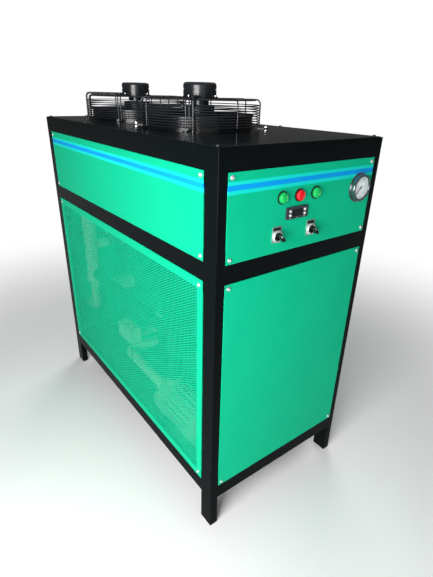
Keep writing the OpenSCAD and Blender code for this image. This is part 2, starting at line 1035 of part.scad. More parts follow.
// One rib: in from the rim, over the bend and down the side to height low
module rib(low) {
  r = guard_r - rib_d / 2;
  z = guard_h - rib_d / 2;
  translate([mount_ring_r + mount_ring_w - rib_lap, 0, z]) rotate([90, 0, 90])
    cylinder(h = r - bend_r - mount_ring_r - mount_ring_w + rib_lap, d = rib_d, $fn = 16);
  translate([r - bend_r, 0, z - bend_r]) rotate([90, 0, 0])
    rotate_extrude(angle = 90) translate([bend_r, 0]) circle(d = rib_d, $fn = 16);
  translate([r, 0, low]) cylinder(h = z - bend_r - low, d = rib_d, $fn = 16);
}

// A rib on a strap with a bolt hole in its round end
module guard_foot() {
  r = guard_r - 3 / 2 * rib_d;
  rib(foot_pad_t / 2);
  difference() {
    union() {
      translate([r, -foot_strap_w / 2, 0]) cube([foot_r - r, foot_strap_w, foot_pad_t]);
      translate([foot_r, 0, 0]) cylinder(h = foot_pad_t, d = foot_pad_d);
    }
    translate([foot_r, 0, -eps]) cylinder(h = foot_pad_t + 2 * eps, d = bolt_d + 2 * rest_gap);
  }
}

module fan_guard(i) {
  ring_r = guard_r - rib_d - wire_d / 2 + weld_sink;
  top_z = guard_h - rib_d - wire_d / 2 + weld_sink;
  ring_step = (guard_h - rib_d / 2 - bend_r - wire_d - first_ring_z) / (side_rings - 1);
  inner = mount_ring_r + mount_ring_w;
  outer = guard_r - rib_d / 2 - bend_r;
  top_step = (outer - inner) / top_rings;
  color("#0e1113") fan_place(i) {
    for (a = [0 : 90 : 270]) {
      rotate([0, 0, a]) rib(first_ring_z - wire_d / 2);
      rotate([0, 0, a + 45]) guard_foot();
    }
    for (k = [0 : side_rings - 1]) ring(ring_r, first_ring_z + k * ring_step, wire_d);
    for (k = [1 : top_rings]) ring(inner + k * top_step, top_z, wire_d);
    translate([0, 0, guard_h - mount_ring_t]) difference() {
      cylinder(h = mount_ring_t, r = mount_ring_r + mount_ring_w);
      translate([0, 0, -eps]) cylinder(h = mount_ring_t + 2 * eps, r = mount_ring_r);
      ear_places() translate([0, 0, -eps]) cylinder(h = mount_ring_t + 2 * eps, d = ear_screw_d);
    }
  }
}

module front_fan_guard() { fan_guard(0); }
module rear_fan_guard() { fan_guard(1); }

module ear_places() {
  for (a = [20 : 90 : 290]) rotate([0, 0, a]) translate([ear_r, 0, 0]) children();
}

// A lead from under the cap out over the guard, down its side and through a grommet in the roof
module motor_lead(i) {
  r = guard_r + rest_gap + lead_d / 2;
  z = rest_gap + lead_d / 2;
  rotate([0, 0, lead_turns[i]]) {
    pipe([[cap_d / 4, 0, z], [r, 0, z], [r, 0, -guard_h - lead_drop]], lead_d, lead_bend);
    translate([r, 0, -guard_h]) cylinder(h = grommet_t, d = grommet_d);
    translate([r, 0, -guard_h - 2 * roof_t])
      cylinder(h = 3 * roof_t, d = lead_hole_d - 2 * rest_gap);
  }
}

// Stator with its flange on the guard, the cap above, the axle below and its lead
module fan_motor(i) {
  r = cap_d / 2;
  top = motor_flange_t + cap_h;
  groove_z = top / 2;
  color("#1c2023") fan_place(i) translate([0, 0, guard_h]) {
    difference() {
      union() {
        cylinder(h = motor_flange_t, r = r);
        ear_places() cylinder(h = motor_flange_t, d = ear_d);
      }
      ear_places() translate([0, 0, -eps])
        cylinder(h = motor_flange_t + 2 * eps, d = ear_screw_d + rest_gap);
    }
    rotate_extrude($fn = 96) difference() {
      union() {
        translate([0, motor_flange_t]) square([r - cap_edge, cap_h]);
        translate([0, motor_flange_t]) square([r, cap_h - cap_edge]);
        intersection() {
          translate([r - cap_edge, top - cap_edge]) circle(r = cap_edge);
          square([r, top]);
        }
      }
      translate([r - cap_groove, groove_z]) square([cap_groove + eps, cap_groove_w]);
    }
    translate([0, 0, hub_z + hub_h + air_gap - guard_h])
      cylinder(h = guard_h - hub_z - hub_h - air_gap, d = neck_d);
    translate([0, 0, hub_z + hub_h + air_gap - guard_h - axle_len])
      cylinder(h = axle_len, d = axle_d);
    motor_lead(i);
  }
}

module fan_motors() {
  for (i = [0, 1]) fan_motor(i);
}

// One sickle blade: a cambered sheet, pitched about its span and trimmed in plan
module blade() {
  r = blade_circle_d / 2;
  intersection() {
    translate([0, 0, -shroud_h]) linear_extrude(3 * shroud_h) difference() {
      intersection() {
        circle(r = r, $fn = 96);
        translate(r * back_edge_shares[0]) circle(r = r * back_edge_shares[1], $fn = 96);
      }
      translate(r * front_edge_shares[0]) circle(r = r * front_edge_shares[1], $fn = 96);
    }
    translate([0, 0, shroud_h / 2]) rotate([0, 0, blade_span_turn]) rotate([blade_pitch, 0, 0])
      translate([0, 0, -blade_camber_r]) rotate([0, 90, 0]) difference() {
        cylinder(h = r + hub_edge, r = blade_camber_r, $fn = 128);
        translate([0, 0, -eps])
          cylinder(h = r + hub_edge + 2 * eps, r = blade_camber_r - blade_t, $fn = 128);
      }
  }
}

// The turning part: the rotor can with its blades round it
module fan_rotor(i) {
  color("#8d9498") fan_place(i) difference() {
    union() {
      rotate_extrude($fn = 96) {
        translate([0, hub_z]) square([hub_d / 2, hub_h - hub_edge]);
        translate([0, hub_z]) square([hub_d / 2 - hub_edge, hub_h]);
        intersection() {
          translate([hub_d / 2 - hub_edge, hub_z + hub_h - hub_edge]) circle(r = hub_edge);
          translate([0, hub_z]) square([hub_d / 2, hub_h]);
        }
      }
      for (k = [0 : blades - 1]) rotate([0, 0, k * 360 / blades]) blade();
    }
    translate([0, 0, hub_z + hub_h - axle_len])
      cylinder(h = axle_len + eps, d = axle_d + 2 * run_gap);
  }
}

module front_fan_rotor() { fan_rotor(0); }
module rear_fan_rotor() { fan_rotor(1); }

module fan_bolts() {
  color("#d9dcdd") fan_places() {
    foot_places() {
      translate([0, 0, foot_pad_t]) cylinder(h = bolt_head_h, d = bolt_head_d, $fn = 6);
      translate([0, 0, foot_pad_t - bolt_len]) cylinder(h = bolt_len, d = bolt_d - rest_gap);
    }
    translate([0, 0, guard_h]) ear_places() {
      translate([0, 0, motor_flange_t]) cylinder(h = ear_head_h, d = ear_head_d);
      translate([0, 0, -mount_ring_t])
        cylinder(h = motor_flange_t + mount_ring_t, d = ear_screw_d - rest_gap);
    }
  }
}

// Condenser under the roof

coil_y0 = -half_d + coil_setback;
coil_y1 = in_y - coil_rear_gap;
coil_half = in_x - coil_side_gap;
coil_z = mid_top + coil_lift;

coil_n = floor((coil_half - tube_pitch / 2) / tube_pitch);

// Sheet casing: two end plates and two side plates, open above and below
module condenser_casing() {
  x = coil_half + casing_t;
  color("#9aa1a5") difference() {
    span([-x, coil_y0 - casing_t, mid_top], [x, coil_y1 + casing_t, frame_h]);
    span([-coil_half, coil_y0, mid_top - eps], [coil_half, coil_y1, frame_h + eps]);
    coil_tube_rows() for (y = [coil_y0 - casing_t, coil_y1])
      translate([0, y - eps, 0]) bar(tube_d + rest_gap, 0, casing_t + 2 * eps);
  }
}

module coil_tube_rows() {
  for (k = [-coil_n : coil_n]) translate([k * tube_pitch, 0, coil_z + coil_h / 2]) children();
}

module return_bend() {
  rotate_extrude(angle = 180) translate([tube_pitch / 2, 0]) circle(d = tube_d);
}

// Fin block, slotted from above and below, with the tube ends and return bends
module condenser_coil() {
  x = coil_half - rest_gap;
  y0 = coil_y0 + rest_gap;
  y1 = coil_y1 - rest_gap;
  step = (y1 - y0) / coil_fins;
  slot_h = (coil_h - fin_core) / 2;
  end_y = tube_out + casing_t;
  color("#b9b2a6") {
    difference() {
      span([-x, y0, coil_z], [x, y1, coil_z + coil_h]);
      for (k = [0 : coil_fins - 1], z = [coil_z - eps, coil_z + coil_h - slot_h])
        translate([-x - eps, y0 + (k + 1 / 3) * step, z]) cube([2 * (x + eps), step / 2, slot_h + eps]);
    }
    coil_tube_rows() {
      bar(tube_d, coil_y0 - end_y, y0);
      bar(tube_d, y1, coil_y1 + end_y);
    }
    for (k = [-coil_n : 2 : coil_n - 1])
      translate([(k + 1 / 2) * tube_pitch, coil_y0 - end_y, coil_z + coil_h / 2])
        rotate([0, 0, 180]) return_bend();
    for (k = [-coil_n + 1 : 2 : coil_n - 1])
      translate([(k + 1 / 2) * tube_pitch, coil_y1 + end_y, coil_z + coil_h / 2])
        return_bend();
  }
}

// Compressor

comp_z = tray_top + mount_h;

module mount_places() {
  s = foot_plate_w / 2 - mount_inset;
  for (x = [-1, 1], y = [-1, 1]) translate([comp_x + x * s, comp_y + y * s, 0]) children();
}

// Welded steel shell with a domed base and lid, a seam and a foot plate
module compressor() {
  r = compressor_d / 2;
  lift = foot_plate_t;
  dome_r = (r * r + comp_dome * comp_dome) / (2 * comp_dome);
  wall_h = compressor_h - 2 * comp_dome;
  color("#1d2226") translate([comp_x, comp_y, comp_z]) {
    translate([0, 0, lift]) rotate([0, 0, 30]) rotate_extrude($fn = 96) {
      translate([0, comp_dome]) square([r, wall_h]);
      translate([0, comp_dome + wall_h / 2]) square([r + comp_seam, comp_seam]);
      intersection() {
        translate([0, dome_r]) circle(r = dome_r, $fn = 128);
        square([r, comp_dome]);
      }
      intersection() {
        translate([0, compressor_h - dome_r]) circle(r = dome_r, $fn = 128);
        translate([0, compressor_h - comp_dome]) square([r, comp_dome]);
      }
    }
    cylinder(h = comp_dome, r = r / 2);
    difference() {
      translate([-foot_plate_w / 2, -foot_plate_w / 2, 0])
        cube([foot_plate_w, foot_plate_w, foot_plate_t]);
      translate([-comp_x, -comp_y, -eps]) mount_places()
        cylinder(h = foot_plate_t + 2 * eps, d = mount_hole_d);
    }
    translate([-term_w / 2, -r - term_d + comp_dome / 4, comp_dome + lift])
      cube([term_w, term_d, term_h]);
    translate([r - copper_d, 0, compressor_h / 2]) rotate([0, 90, 0])
      cylinder(h = 2 * copper_d, d = copper_d);
    translate([0, 0, compressor_h - copper_d]) cylinder(h = 2 * copper_d, d = copper_d);
  }
}

// Rubber grommets with their through bolts
module compressor_mounts() {
  color("#0b0c0d") mount_places() translate([0, 0, tray_top]) {
    cylinder(h = mount_h, d = mount_d);
    cylinder(h = mount_h + foot_plate_t + bolt_head_h, d = mount_bolt_d);
    translate([0, 0, mount_h + foot_plate_t]) cylinder(h = bolt_head_h, d = 2 * mount_bolt_d, $fn = 6);
  }
}

// Copper lines, brazed from the compressor to the coil and back, with the drier
module refrigerant_pipes() {
  top = comp_z + compressor_h + copper_d;
  side_x = comp_x + compressor_d / 2 + copper_d;
  side_z = comp_z + compressor_h / 2;
  coil_tube_z = coil_z + coil_h / 2;
  coil_x = coil_n * tube_pitch;
  end_y = tube_out + casing_t;
  front_y = coil_y0 - end_y - 2 * copper_bend;
  rear_y = coil_y1 + end_y + tube_d / 2 + capillary_d;
  under_z = mid_rail_z - copper_bend;
  over_z = tank_top + lid_t + 2 * copper_bend;
  dip_x = tank_x + tank_w / 4;
  dip_y = tank_y + tank_d / 2 - 2 * copper_bend;
  suction_x = tank_x + tank_w / 2 - tube_d;
  suction_y = tank_y - tank_d / 2 + 2 * copper_bend;
  b = copper_bend / 2;
  line_x = switch_x - switch_w / 2 + capillary_d;
  line_y = switch_y - switch_d / 2 + 2 * capillary_d;
  rise_x = comp_x - foot_plate_w / 2 - copper_d;
  color("#b56a3e") {
    pipe([[comp_x, comp_y, top], [comp_x, comp_y, under_z], [comp_x, front_y, under_z],
      [comp_x, front_y, coil_tube_z], [coil_x, front_y, coil_tube_z],
      [coil_x, coil_y0 - end_y, coil_tube_z]], tube_d, b);
    pipe([[-coil_x, coil_y1 + end_y, coil_tube_z], [-coil_x, rear_y, coil_tube_z],
      [-coil_x, rear_y, over_z], [dip_x, rear_y, over_z], [dip_x, dip_y, over_z],
      [dip_x, dip_y, tank_top + lid_t]], tube_d, tube_d / 2 + capillary_d);
    translate([(dip_x - drier_len) / 2, rear_y, over_z]) rotate([0, 90, 0])
      cylinder(h = drier_len, d = drier_d);
    pipe([[side_x, comp_y, side_z], [suction_x, comp_y, side_z], [suction_x, comp_y, over_z],
      [suction_x, suction_y, over_z], [suction_x, suction_y, tank_top + lid_t]], tube_d, tube_d);
    pipe([[line_x, line_y, switch_z - switch_h / 2], [line_x, line_y, capillary_z],
      [line_x, comp_y, capillary_z], [rise_x, comp_y, capillary_z], [rise_x, comp_y, side_z],
      [comp_x - compressor_d / 2, comp_y, side_z]], capillary_d, 2 * capillary_d);
  }
}

// Water side

module water_tank() {
  x = tank_w / 2;
  y = tank_d / 2;
  color("#1e2226") translate([tank_x, tank_y, tank_z]) difference() {
    span([-x, -y, 0], [x, y, tank_h]);
    span([-x + tank_wall, -y + tank_wall, tank_wall],
      [x - tank_wall, y - tank_wall, tank_h + eps]);
  }
}

module tank_lid() {
  x = tank_w / 2 + lid_lap;
  y = tank_d / 2 + lid_lap;
  color("#2a2f33") translate([tank_x, tank_y, tank_top])
    span([-x, -y, 0], [x, y, lid_t]);
}

module pump_place() {
  translate([pump_x, pump_y, pump_axis_z]) children();
}

// Motor with cooling fins, a grilled cowl behind and the volute in front
module pump() {
  core_d = pump_d - 2 * fin_h;
  back = -pump_len / 2;
  front_end = pump_len / 2;
  color("#a9b0b2") pump_place() difference() {
    union() {
      bar(core_d, back, front_end);
      for (y = [back, front_end - cowl_t * 4]) bar(pump_d, y, y + cowl_t * 4);
      for (k = [0 : fin_n - 1]) rotate([0, k * 360 / fin_n, 0])
        translate([-fin_t / 2, back, 0]) cube([fin_t, pump_len, pump_d / 2]);
      bar(pump_d, back - cowl_len, back);
      bar(volute_d, front_end, front_end + volute_len);
      bar(collar_d, front_end, volute_end);
      translate([0, front_end + volute_len / 2, 0]) cylinder(h = pump_outlet_h, d = collar_d);
      translate([-pump_foot_w / 2, -pump_foot_len / 2, tray_top - pump_axis_z])
        cube([pump_foot_w, pump_foot_len, pump_foot_t]);
      translate([-pump_foot_w / 4, -pump_foot_len / 2, tray_top - pump_axis_z])
        cube([pump_foot_w / 2, pump_foot_len, pump_axis_z - tray_top]);
    }
    bar(shaft_d + 2 * run_gap, back - eps, front_end + volute_len / 2);
    bar(pump_d - 2 * cowl_t, back - cowl_len + cowl_t, back);
    for (a = [0 : 45 : 315]) rotate([0, a, 0]) translate([0, 0, cowl_fan_d / 3])
      bar(cowl_fan_d / 6, back - cowl_len - eps, back - cowl_len + cowl_t + eps);
    bar(impeller_d + 2 * chamber_gap, chamber_y, chamber_y + impeller_t + 2 * chamber_gap);
    bar(eye_d, chamber_y, volute_end + eps);
    translate([0, front_end + volute_len / 2, impeller_d / 3])
      cylinder(h = pump_outlet_h, d = eye_d - 2 * pipe_wall);
  }
}

// A hub and disc with straight radial vanes that end inside the rim, turning about Y
module vane_wheel(d, t, y) {
  bar(d / 3, y, y + t);
  bar(d, y, y + t / 4);
  for (k = [0 : wheel_vanes - 1]) rotate([0, k * 360 / wheel_vanes, 0])
    translate([-cowl_t / 2, y + t / 8, 0]) cube([cowl_t, t * 3 / 4, d / 2 - cowl_t]);
}

module pump_shaft() {
  color("#c8ccce") pump_place() {
    bar(shaft_d, -pump_len / 2 - cowl_fan_t - chamber_gap, chamber_y + chamber_gap + impeller_t);
    vane_wheel(cowl_fan_d, cowl_fan_t, -pump_len / 2 - cowl_fan_t - chamber_gap);
    vane_wheel(impeller_d, impeller_t, chamber_y + chamber_gap);
  }
}

module water_pipes() {
  side_x = tank_x - tank_w / 2;
  suction_y = tank_y - tank_d / 2 + water_pipe_d + socket_lip;
  back_y = half_d - socket_len + socket_lip;
  color("#e6ebe8") {
    pipe([[pump_x, pump_y + volute_end, pump_axis_z], [pump_x, suction_y, pump_axis_z],
      [side_x, suction_y, pump_axis_z]], water_pipe_d, pipe_bend);
    translate([header_x, header_y, 0]) {
      translate([0, 0, header_bottom]) cylinder(h = header_top - header_bottom, d = header_d);
      for (z = [header_bottom, header_top - socket_lip]) translate([0, 0, z])
        cylinder(h = socket_lip, d = header_d + 2 * header_lap);
    }
    translate([header_x, 0, hose_z]) bar(water_pipe_d, hose_y, header_y);
    pipe([[header_x, header_y, bypass_z], [valve_x - valve_len / 2, header_y, bypass_z]],
      water_pipe_d, pipe_bend);
    pipe([[valve_x + valve_len / 2, header_y, bypass_z], [bypass_x, header_y, bypass_z],
      [bypass_x, header_y, tank_top + lid_t]], water_pipe_d, pipe_bend);
    pipe([[header_x, header_y, header_bottom + eps], [header_x, header_y, outlet_z],
      [header_x, back_y, outlet_z]], water_pipe_d, pipe_bend);
    pipe([[inlet_x, tank_y + tank_d / 2, inlet_z], [inlet_x, back_y, inlet_z]],
      water_pipe_d, pipe_bend);
  }
}

// Black hose from the pump's outlet up and back to the header, whose stub sits in its end
module pump_hose() {
  rise_y = pump_y + pump_len / 2 + volute_len / 2;
  color("#15181a") {
    pipe([[pump_x, rise_y, pump_axis_z + pump_outlet_h], [pump_x, rise_y, hose_z],
      [pump_x, hose_y - hose_lap, hose_z]], water_pipe_d, pipe_bend);
    translate([pump_x, 0, hose_z]) difference() {
      bar(water_pipe_d + 2 * hose_wall, hose_y - hose_lap, hose_y + hose_lap);
      bar(water_pipe_d + 2 * run_gap, hose_y - rest_gap, hose_y + hose_lap + eps);
    }
  }
}

// Places of the two water connections, seen from behind
module port_places() {
  on_side(rear) {
    translate([-header_x, 0, outlet_z]) children();
    translate([-inlet_x, 0, inlet_z]) children();
  }
}

module water_ports() {
  mouth = -panel_proud - socket_lip;
  color("#b9975b") port_places() difference() {
    union() {
      bar(socket_d, mouth, socket_len - socket_lip);
      bar(socket_flange_d, -panel_proud - socket_flange_t, -panel_proud, $fn = 6);
    }
    bar(port_core_d, mouth - eps, mouth + port_depth);
  }
}

module valve_place() {
  translate([valve_x, header_y, bypass_z]) rotate([0, 0, 90]) children();
}

module valve_body() {
  color("#b9975b") valve_place() difference() {
    union() {
      bar(water_pipe_d + 2 * pipe_wall, -valve_len / 2, valve_len / 2);
      sphere(d = valve_ball_d);
      cylinder(h = valve_top, d = 2 * stem_d);
    }
    translate([0, 0, valve_top - stem_h]) cylinder(h = stem_h + eps, d = stem_d + 2 * run_gap);
  }
}

// A T handle: a stem with a round crossbar that lies along the pipe when the valve is open
module valve_lever() {
  color("#e6e9e5") valve_place() {
    translate([0, 0, valve_top - stem_h + rest_gap])
      cylinder(h = stem_h + handle_rise, d = stem_d);
    translate([0, 0, valve_top + rest_gap])
      cylinder(h = handle_collar_h, d = handle_d + 2 * handle_swell);
    translate([0, 0, valve_top + handle_rise]) {
      bar(handle_d, -handle_len / 2, handle_len / 2);
      bar(handle_d + 2 * handle_swell, -handle_d, handle_d);
    }
  }
}

// Electrical parts

// Shelf and back plate with a contactor, a relay, a breaker and a terminal strip
module switchgear() {
  y0 = -side_half + gear_t;
  y1 = -half_d + gear_setback;
  x = in_x + gear_rest;
  front_y = y1 - gear_t;
  color("#7d858a") {
    span([-x, y0, mid_top], [x, y1, mid_top + gear_t]);
    span([-gear_w / 2, front_y, mid_top], [gear_w / 2, y1, mid_top + gear_h]);
    for (g = gear_block_shares)
      translate([(g[0] - g[1] / 2) * gear_w, front_y - g[2] * gear_h, mid_top + g[3] * gear_h])
        cube([g[1] * gear_w, g[2] * gear_h, g[4] * gear_h]);
  }
}

// A case on a bracket from the tank's side with two adjusting screws on top, and a second case
module pressure_switches() {
  x = tank_x - tank_w / 2;
  y0 = switch_y - switch_d / 2;
  y1 = switch_y + switch_d / 2;
  low = switch_z - switch_h / 2;
  high = switch_z + switch_h / 2;
  bracket_y = tank_y - tank_d / 2 + switch_bracket;
  color("#e3e6e4") {
    span([switch_x - switch_w / 2, y0, low], [switch_x + switch_w / 2, y1, high]);
    for (y = [-1, 1]) translate([switch_x, switch_y + y * switch_d / 4, high])
      cylinder(h = screw_head_d, d = washer_d);
    span([switch_x - switch_w / 2, bracket_y, low - switch_bracket],
      [x, bracket_y + bracket_w, low]);
    span([x - switch_bracket, bracket_y, low - switch_bracket],
      [x, bracket_y + bracket_w, high]);
    translate([x - side_switch_w, half_d - side_switch_setback - side_switch_d / 2,
      tank_z + side_switch_lift - side_switch_h / 2])
        cube([side_switch_w, side_switch_d, side_switch_h]);
  }
}

module cable_gland() {
  color("#17191b") on_side(rear) translate([gland_x, 0, gland_z]) difference() {
    union() {
      bar(gland_d, -panel_proud - gland_len / 2, -panel_proud, $fn = 6);
      bar(gland_core_d, -panel_proud - gland_len, gland_len / 2);
      bar(gland_d, -panel_proud + panel_t, -panel_proud + panel_t + nut_t, $fn = 6);
    }
    bar(gland_bore_d, -panel_proud - gland_len - eps, gland_len / 2 + eps);
  }
}

corner_posts();
top_rails();
mid_rails();
base_rails();
post_plugs();
base_tray();
panel_tabs();
top_sheet();
control_panel();
front_panel();
left_upper_panel();
right_upper_panel();
rear_upper_panel();
left_mesh_frame();
right_mesh_frame();
left_mesh();
right_mesh();
rear_panel();
panel_screws();
lamp_bodies();
green_lenses();
red_lens();
controller_case();
key_upper_left();
key_lower_left();
key_upper_right();
key_lower_right();
selector_bezels();
selector_legends();
selector_blocks();
selector_knob_left();
selector_knob_right();
gauge_case();
gauge_dial();
gauge_needle();
gauge_glass();
fan_shrouds();
front_fan_guard();
rear_fan_guard();
fan_motors();
front_fan_rotor();
rear_fan_rotor();
fan_bolts();
condenser_casing();
condenser_coil();
compressor();
compressor_mounts();
refrigerant_pipes();
water_tank();
tank_lid();
pump();
pump_shaft();
water_pipes();
pump_hose();
water_ports();
valve_body();
valve_lever();
switchgear();
pressure_switches();
cable_gland();
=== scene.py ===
import math
import bpy
import numpy as np
from mathutils import Matrix, Vector


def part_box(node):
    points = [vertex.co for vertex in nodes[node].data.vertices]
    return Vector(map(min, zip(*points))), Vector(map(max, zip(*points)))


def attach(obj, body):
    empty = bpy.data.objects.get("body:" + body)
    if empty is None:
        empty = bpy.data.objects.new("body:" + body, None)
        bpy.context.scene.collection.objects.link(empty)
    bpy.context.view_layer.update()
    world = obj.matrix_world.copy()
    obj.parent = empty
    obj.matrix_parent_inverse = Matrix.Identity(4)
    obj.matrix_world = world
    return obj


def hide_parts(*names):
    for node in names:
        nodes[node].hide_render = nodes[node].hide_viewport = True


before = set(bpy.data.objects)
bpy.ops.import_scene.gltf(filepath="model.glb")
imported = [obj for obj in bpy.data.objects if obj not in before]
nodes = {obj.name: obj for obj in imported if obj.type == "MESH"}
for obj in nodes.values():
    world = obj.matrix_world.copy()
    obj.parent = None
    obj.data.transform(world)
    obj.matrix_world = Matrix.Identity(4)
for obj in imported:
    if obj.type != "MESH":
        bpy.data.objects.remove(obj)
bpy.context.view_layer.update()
mm = 0.001
print("frame loaded:", len(nodes), "nodes")


# Colour, nodes and materials

def linearColour(text):
    # an sRGB hex value as linear RGBA
    parts = [int(text[i:i + 2], 16) / 255 for i in (1, 3, 5)]
    return [c / 12.92 if c <= 0.04045 else ((c + 0.055) / 1.055) ** 2.4 for c in parts] + [1.0]


def addNode(tree, kind, settings=None, values=None, links=None):
    # adds a node, sets its settings and socket values, and links its inputs
    made = tree.nodes.new("ShaderNode" + kind)
    for name, value in (settings or {}).items():
        setattr(made, name, value)
    for socket, value in (values or {}).items():
        made.inputs[socket].default_value = value
    for socket, source in (links or {}).items():
        tree.links.new(source, made.inputs[socket])
    return made


def newMaterial(name, values):
    # an empty material with one Principled shader, whose constant sockets are set here
    made = bpy.data.materials.new(name)
    made.use_nodes = True
    tree = made.node_tree
    tree.nodes.clear()
    shader = addNode(tree, "BsdfPrincipled", values=values)
    addNode(tree, "OutputMaterial", links={"Surface": shader.outputs[0]})
    place = addNode(tree, "TexCoord").outputs["Object"]
    return made, tree, shader, place


noises = dict(patch={"Detail": 4.0, "Roughness": 0.6}, grain={"Detail": 2.0}, smearSpan=(0.3, 0.7),
              smear={"Detail": 6.0, "Roughness": 0.65, "Distortion": 0.4}, edgeSamples=6)


def addNoise(tree, place, finish, kind):
    # a noise of scale 1 / size, for the finish's patch, smear or grain
    values = {**noises[kind], "Scale": 1 / (finish[kind + "Mm"] * mm)}
    return addNode(tree, "TexNoise", values=values, links={"Vector": place}).outputs["Fac"]


def addSurface(tree, shader, place, finish):
    # the colour drifts between two tones over patchMm, the gloss over smearMm, and the bump has grainMm
    tone = addNode(tree, "Mix", {"data_type": "RGBA"}, {6: linearColour(finish["colour"]),
                   7: linearColour(finish["shade"])}, {0: addNoise(tree, place, finish, "patch")})
    gloss = addNode(tree, "MapRange", values={
        "From Min": noises["smearSpan"][0], "From Max": noises["smearSpan"][1],
        "To Min": finish["rough"][0], "To Max": finish["rough"][1]},
        links={"Value": addNoise(tree, place, finish, "smear")})
    bump = addNode(tree, "Bump", values={"Strength": finish["bump"], "Distance": finish["bumpMm"] * mm},
                   links={"Height": addNoise(tree, place, finish, "grain")})
    if "edgeMm" in finish:
        # softens the normals along sharp edges, like a tube's corner
        edge = addNode(tree, "Bevel", {"samples": noises["edgeSamples"]},
                       {"Radius": finish["edgeMm"] * mm})
        tree.links.new(edge.outputs[0], bump.inputs["Normal"])
    tree.links.new(tone.outputs[2], shader.inputs["Base Color"])
    tree.links.new(gloss.outputs[0], shader.inputs["Roughness"])
    tree.links.new(bump.outputs[0], shader.inputs["Normal"])
    return tone


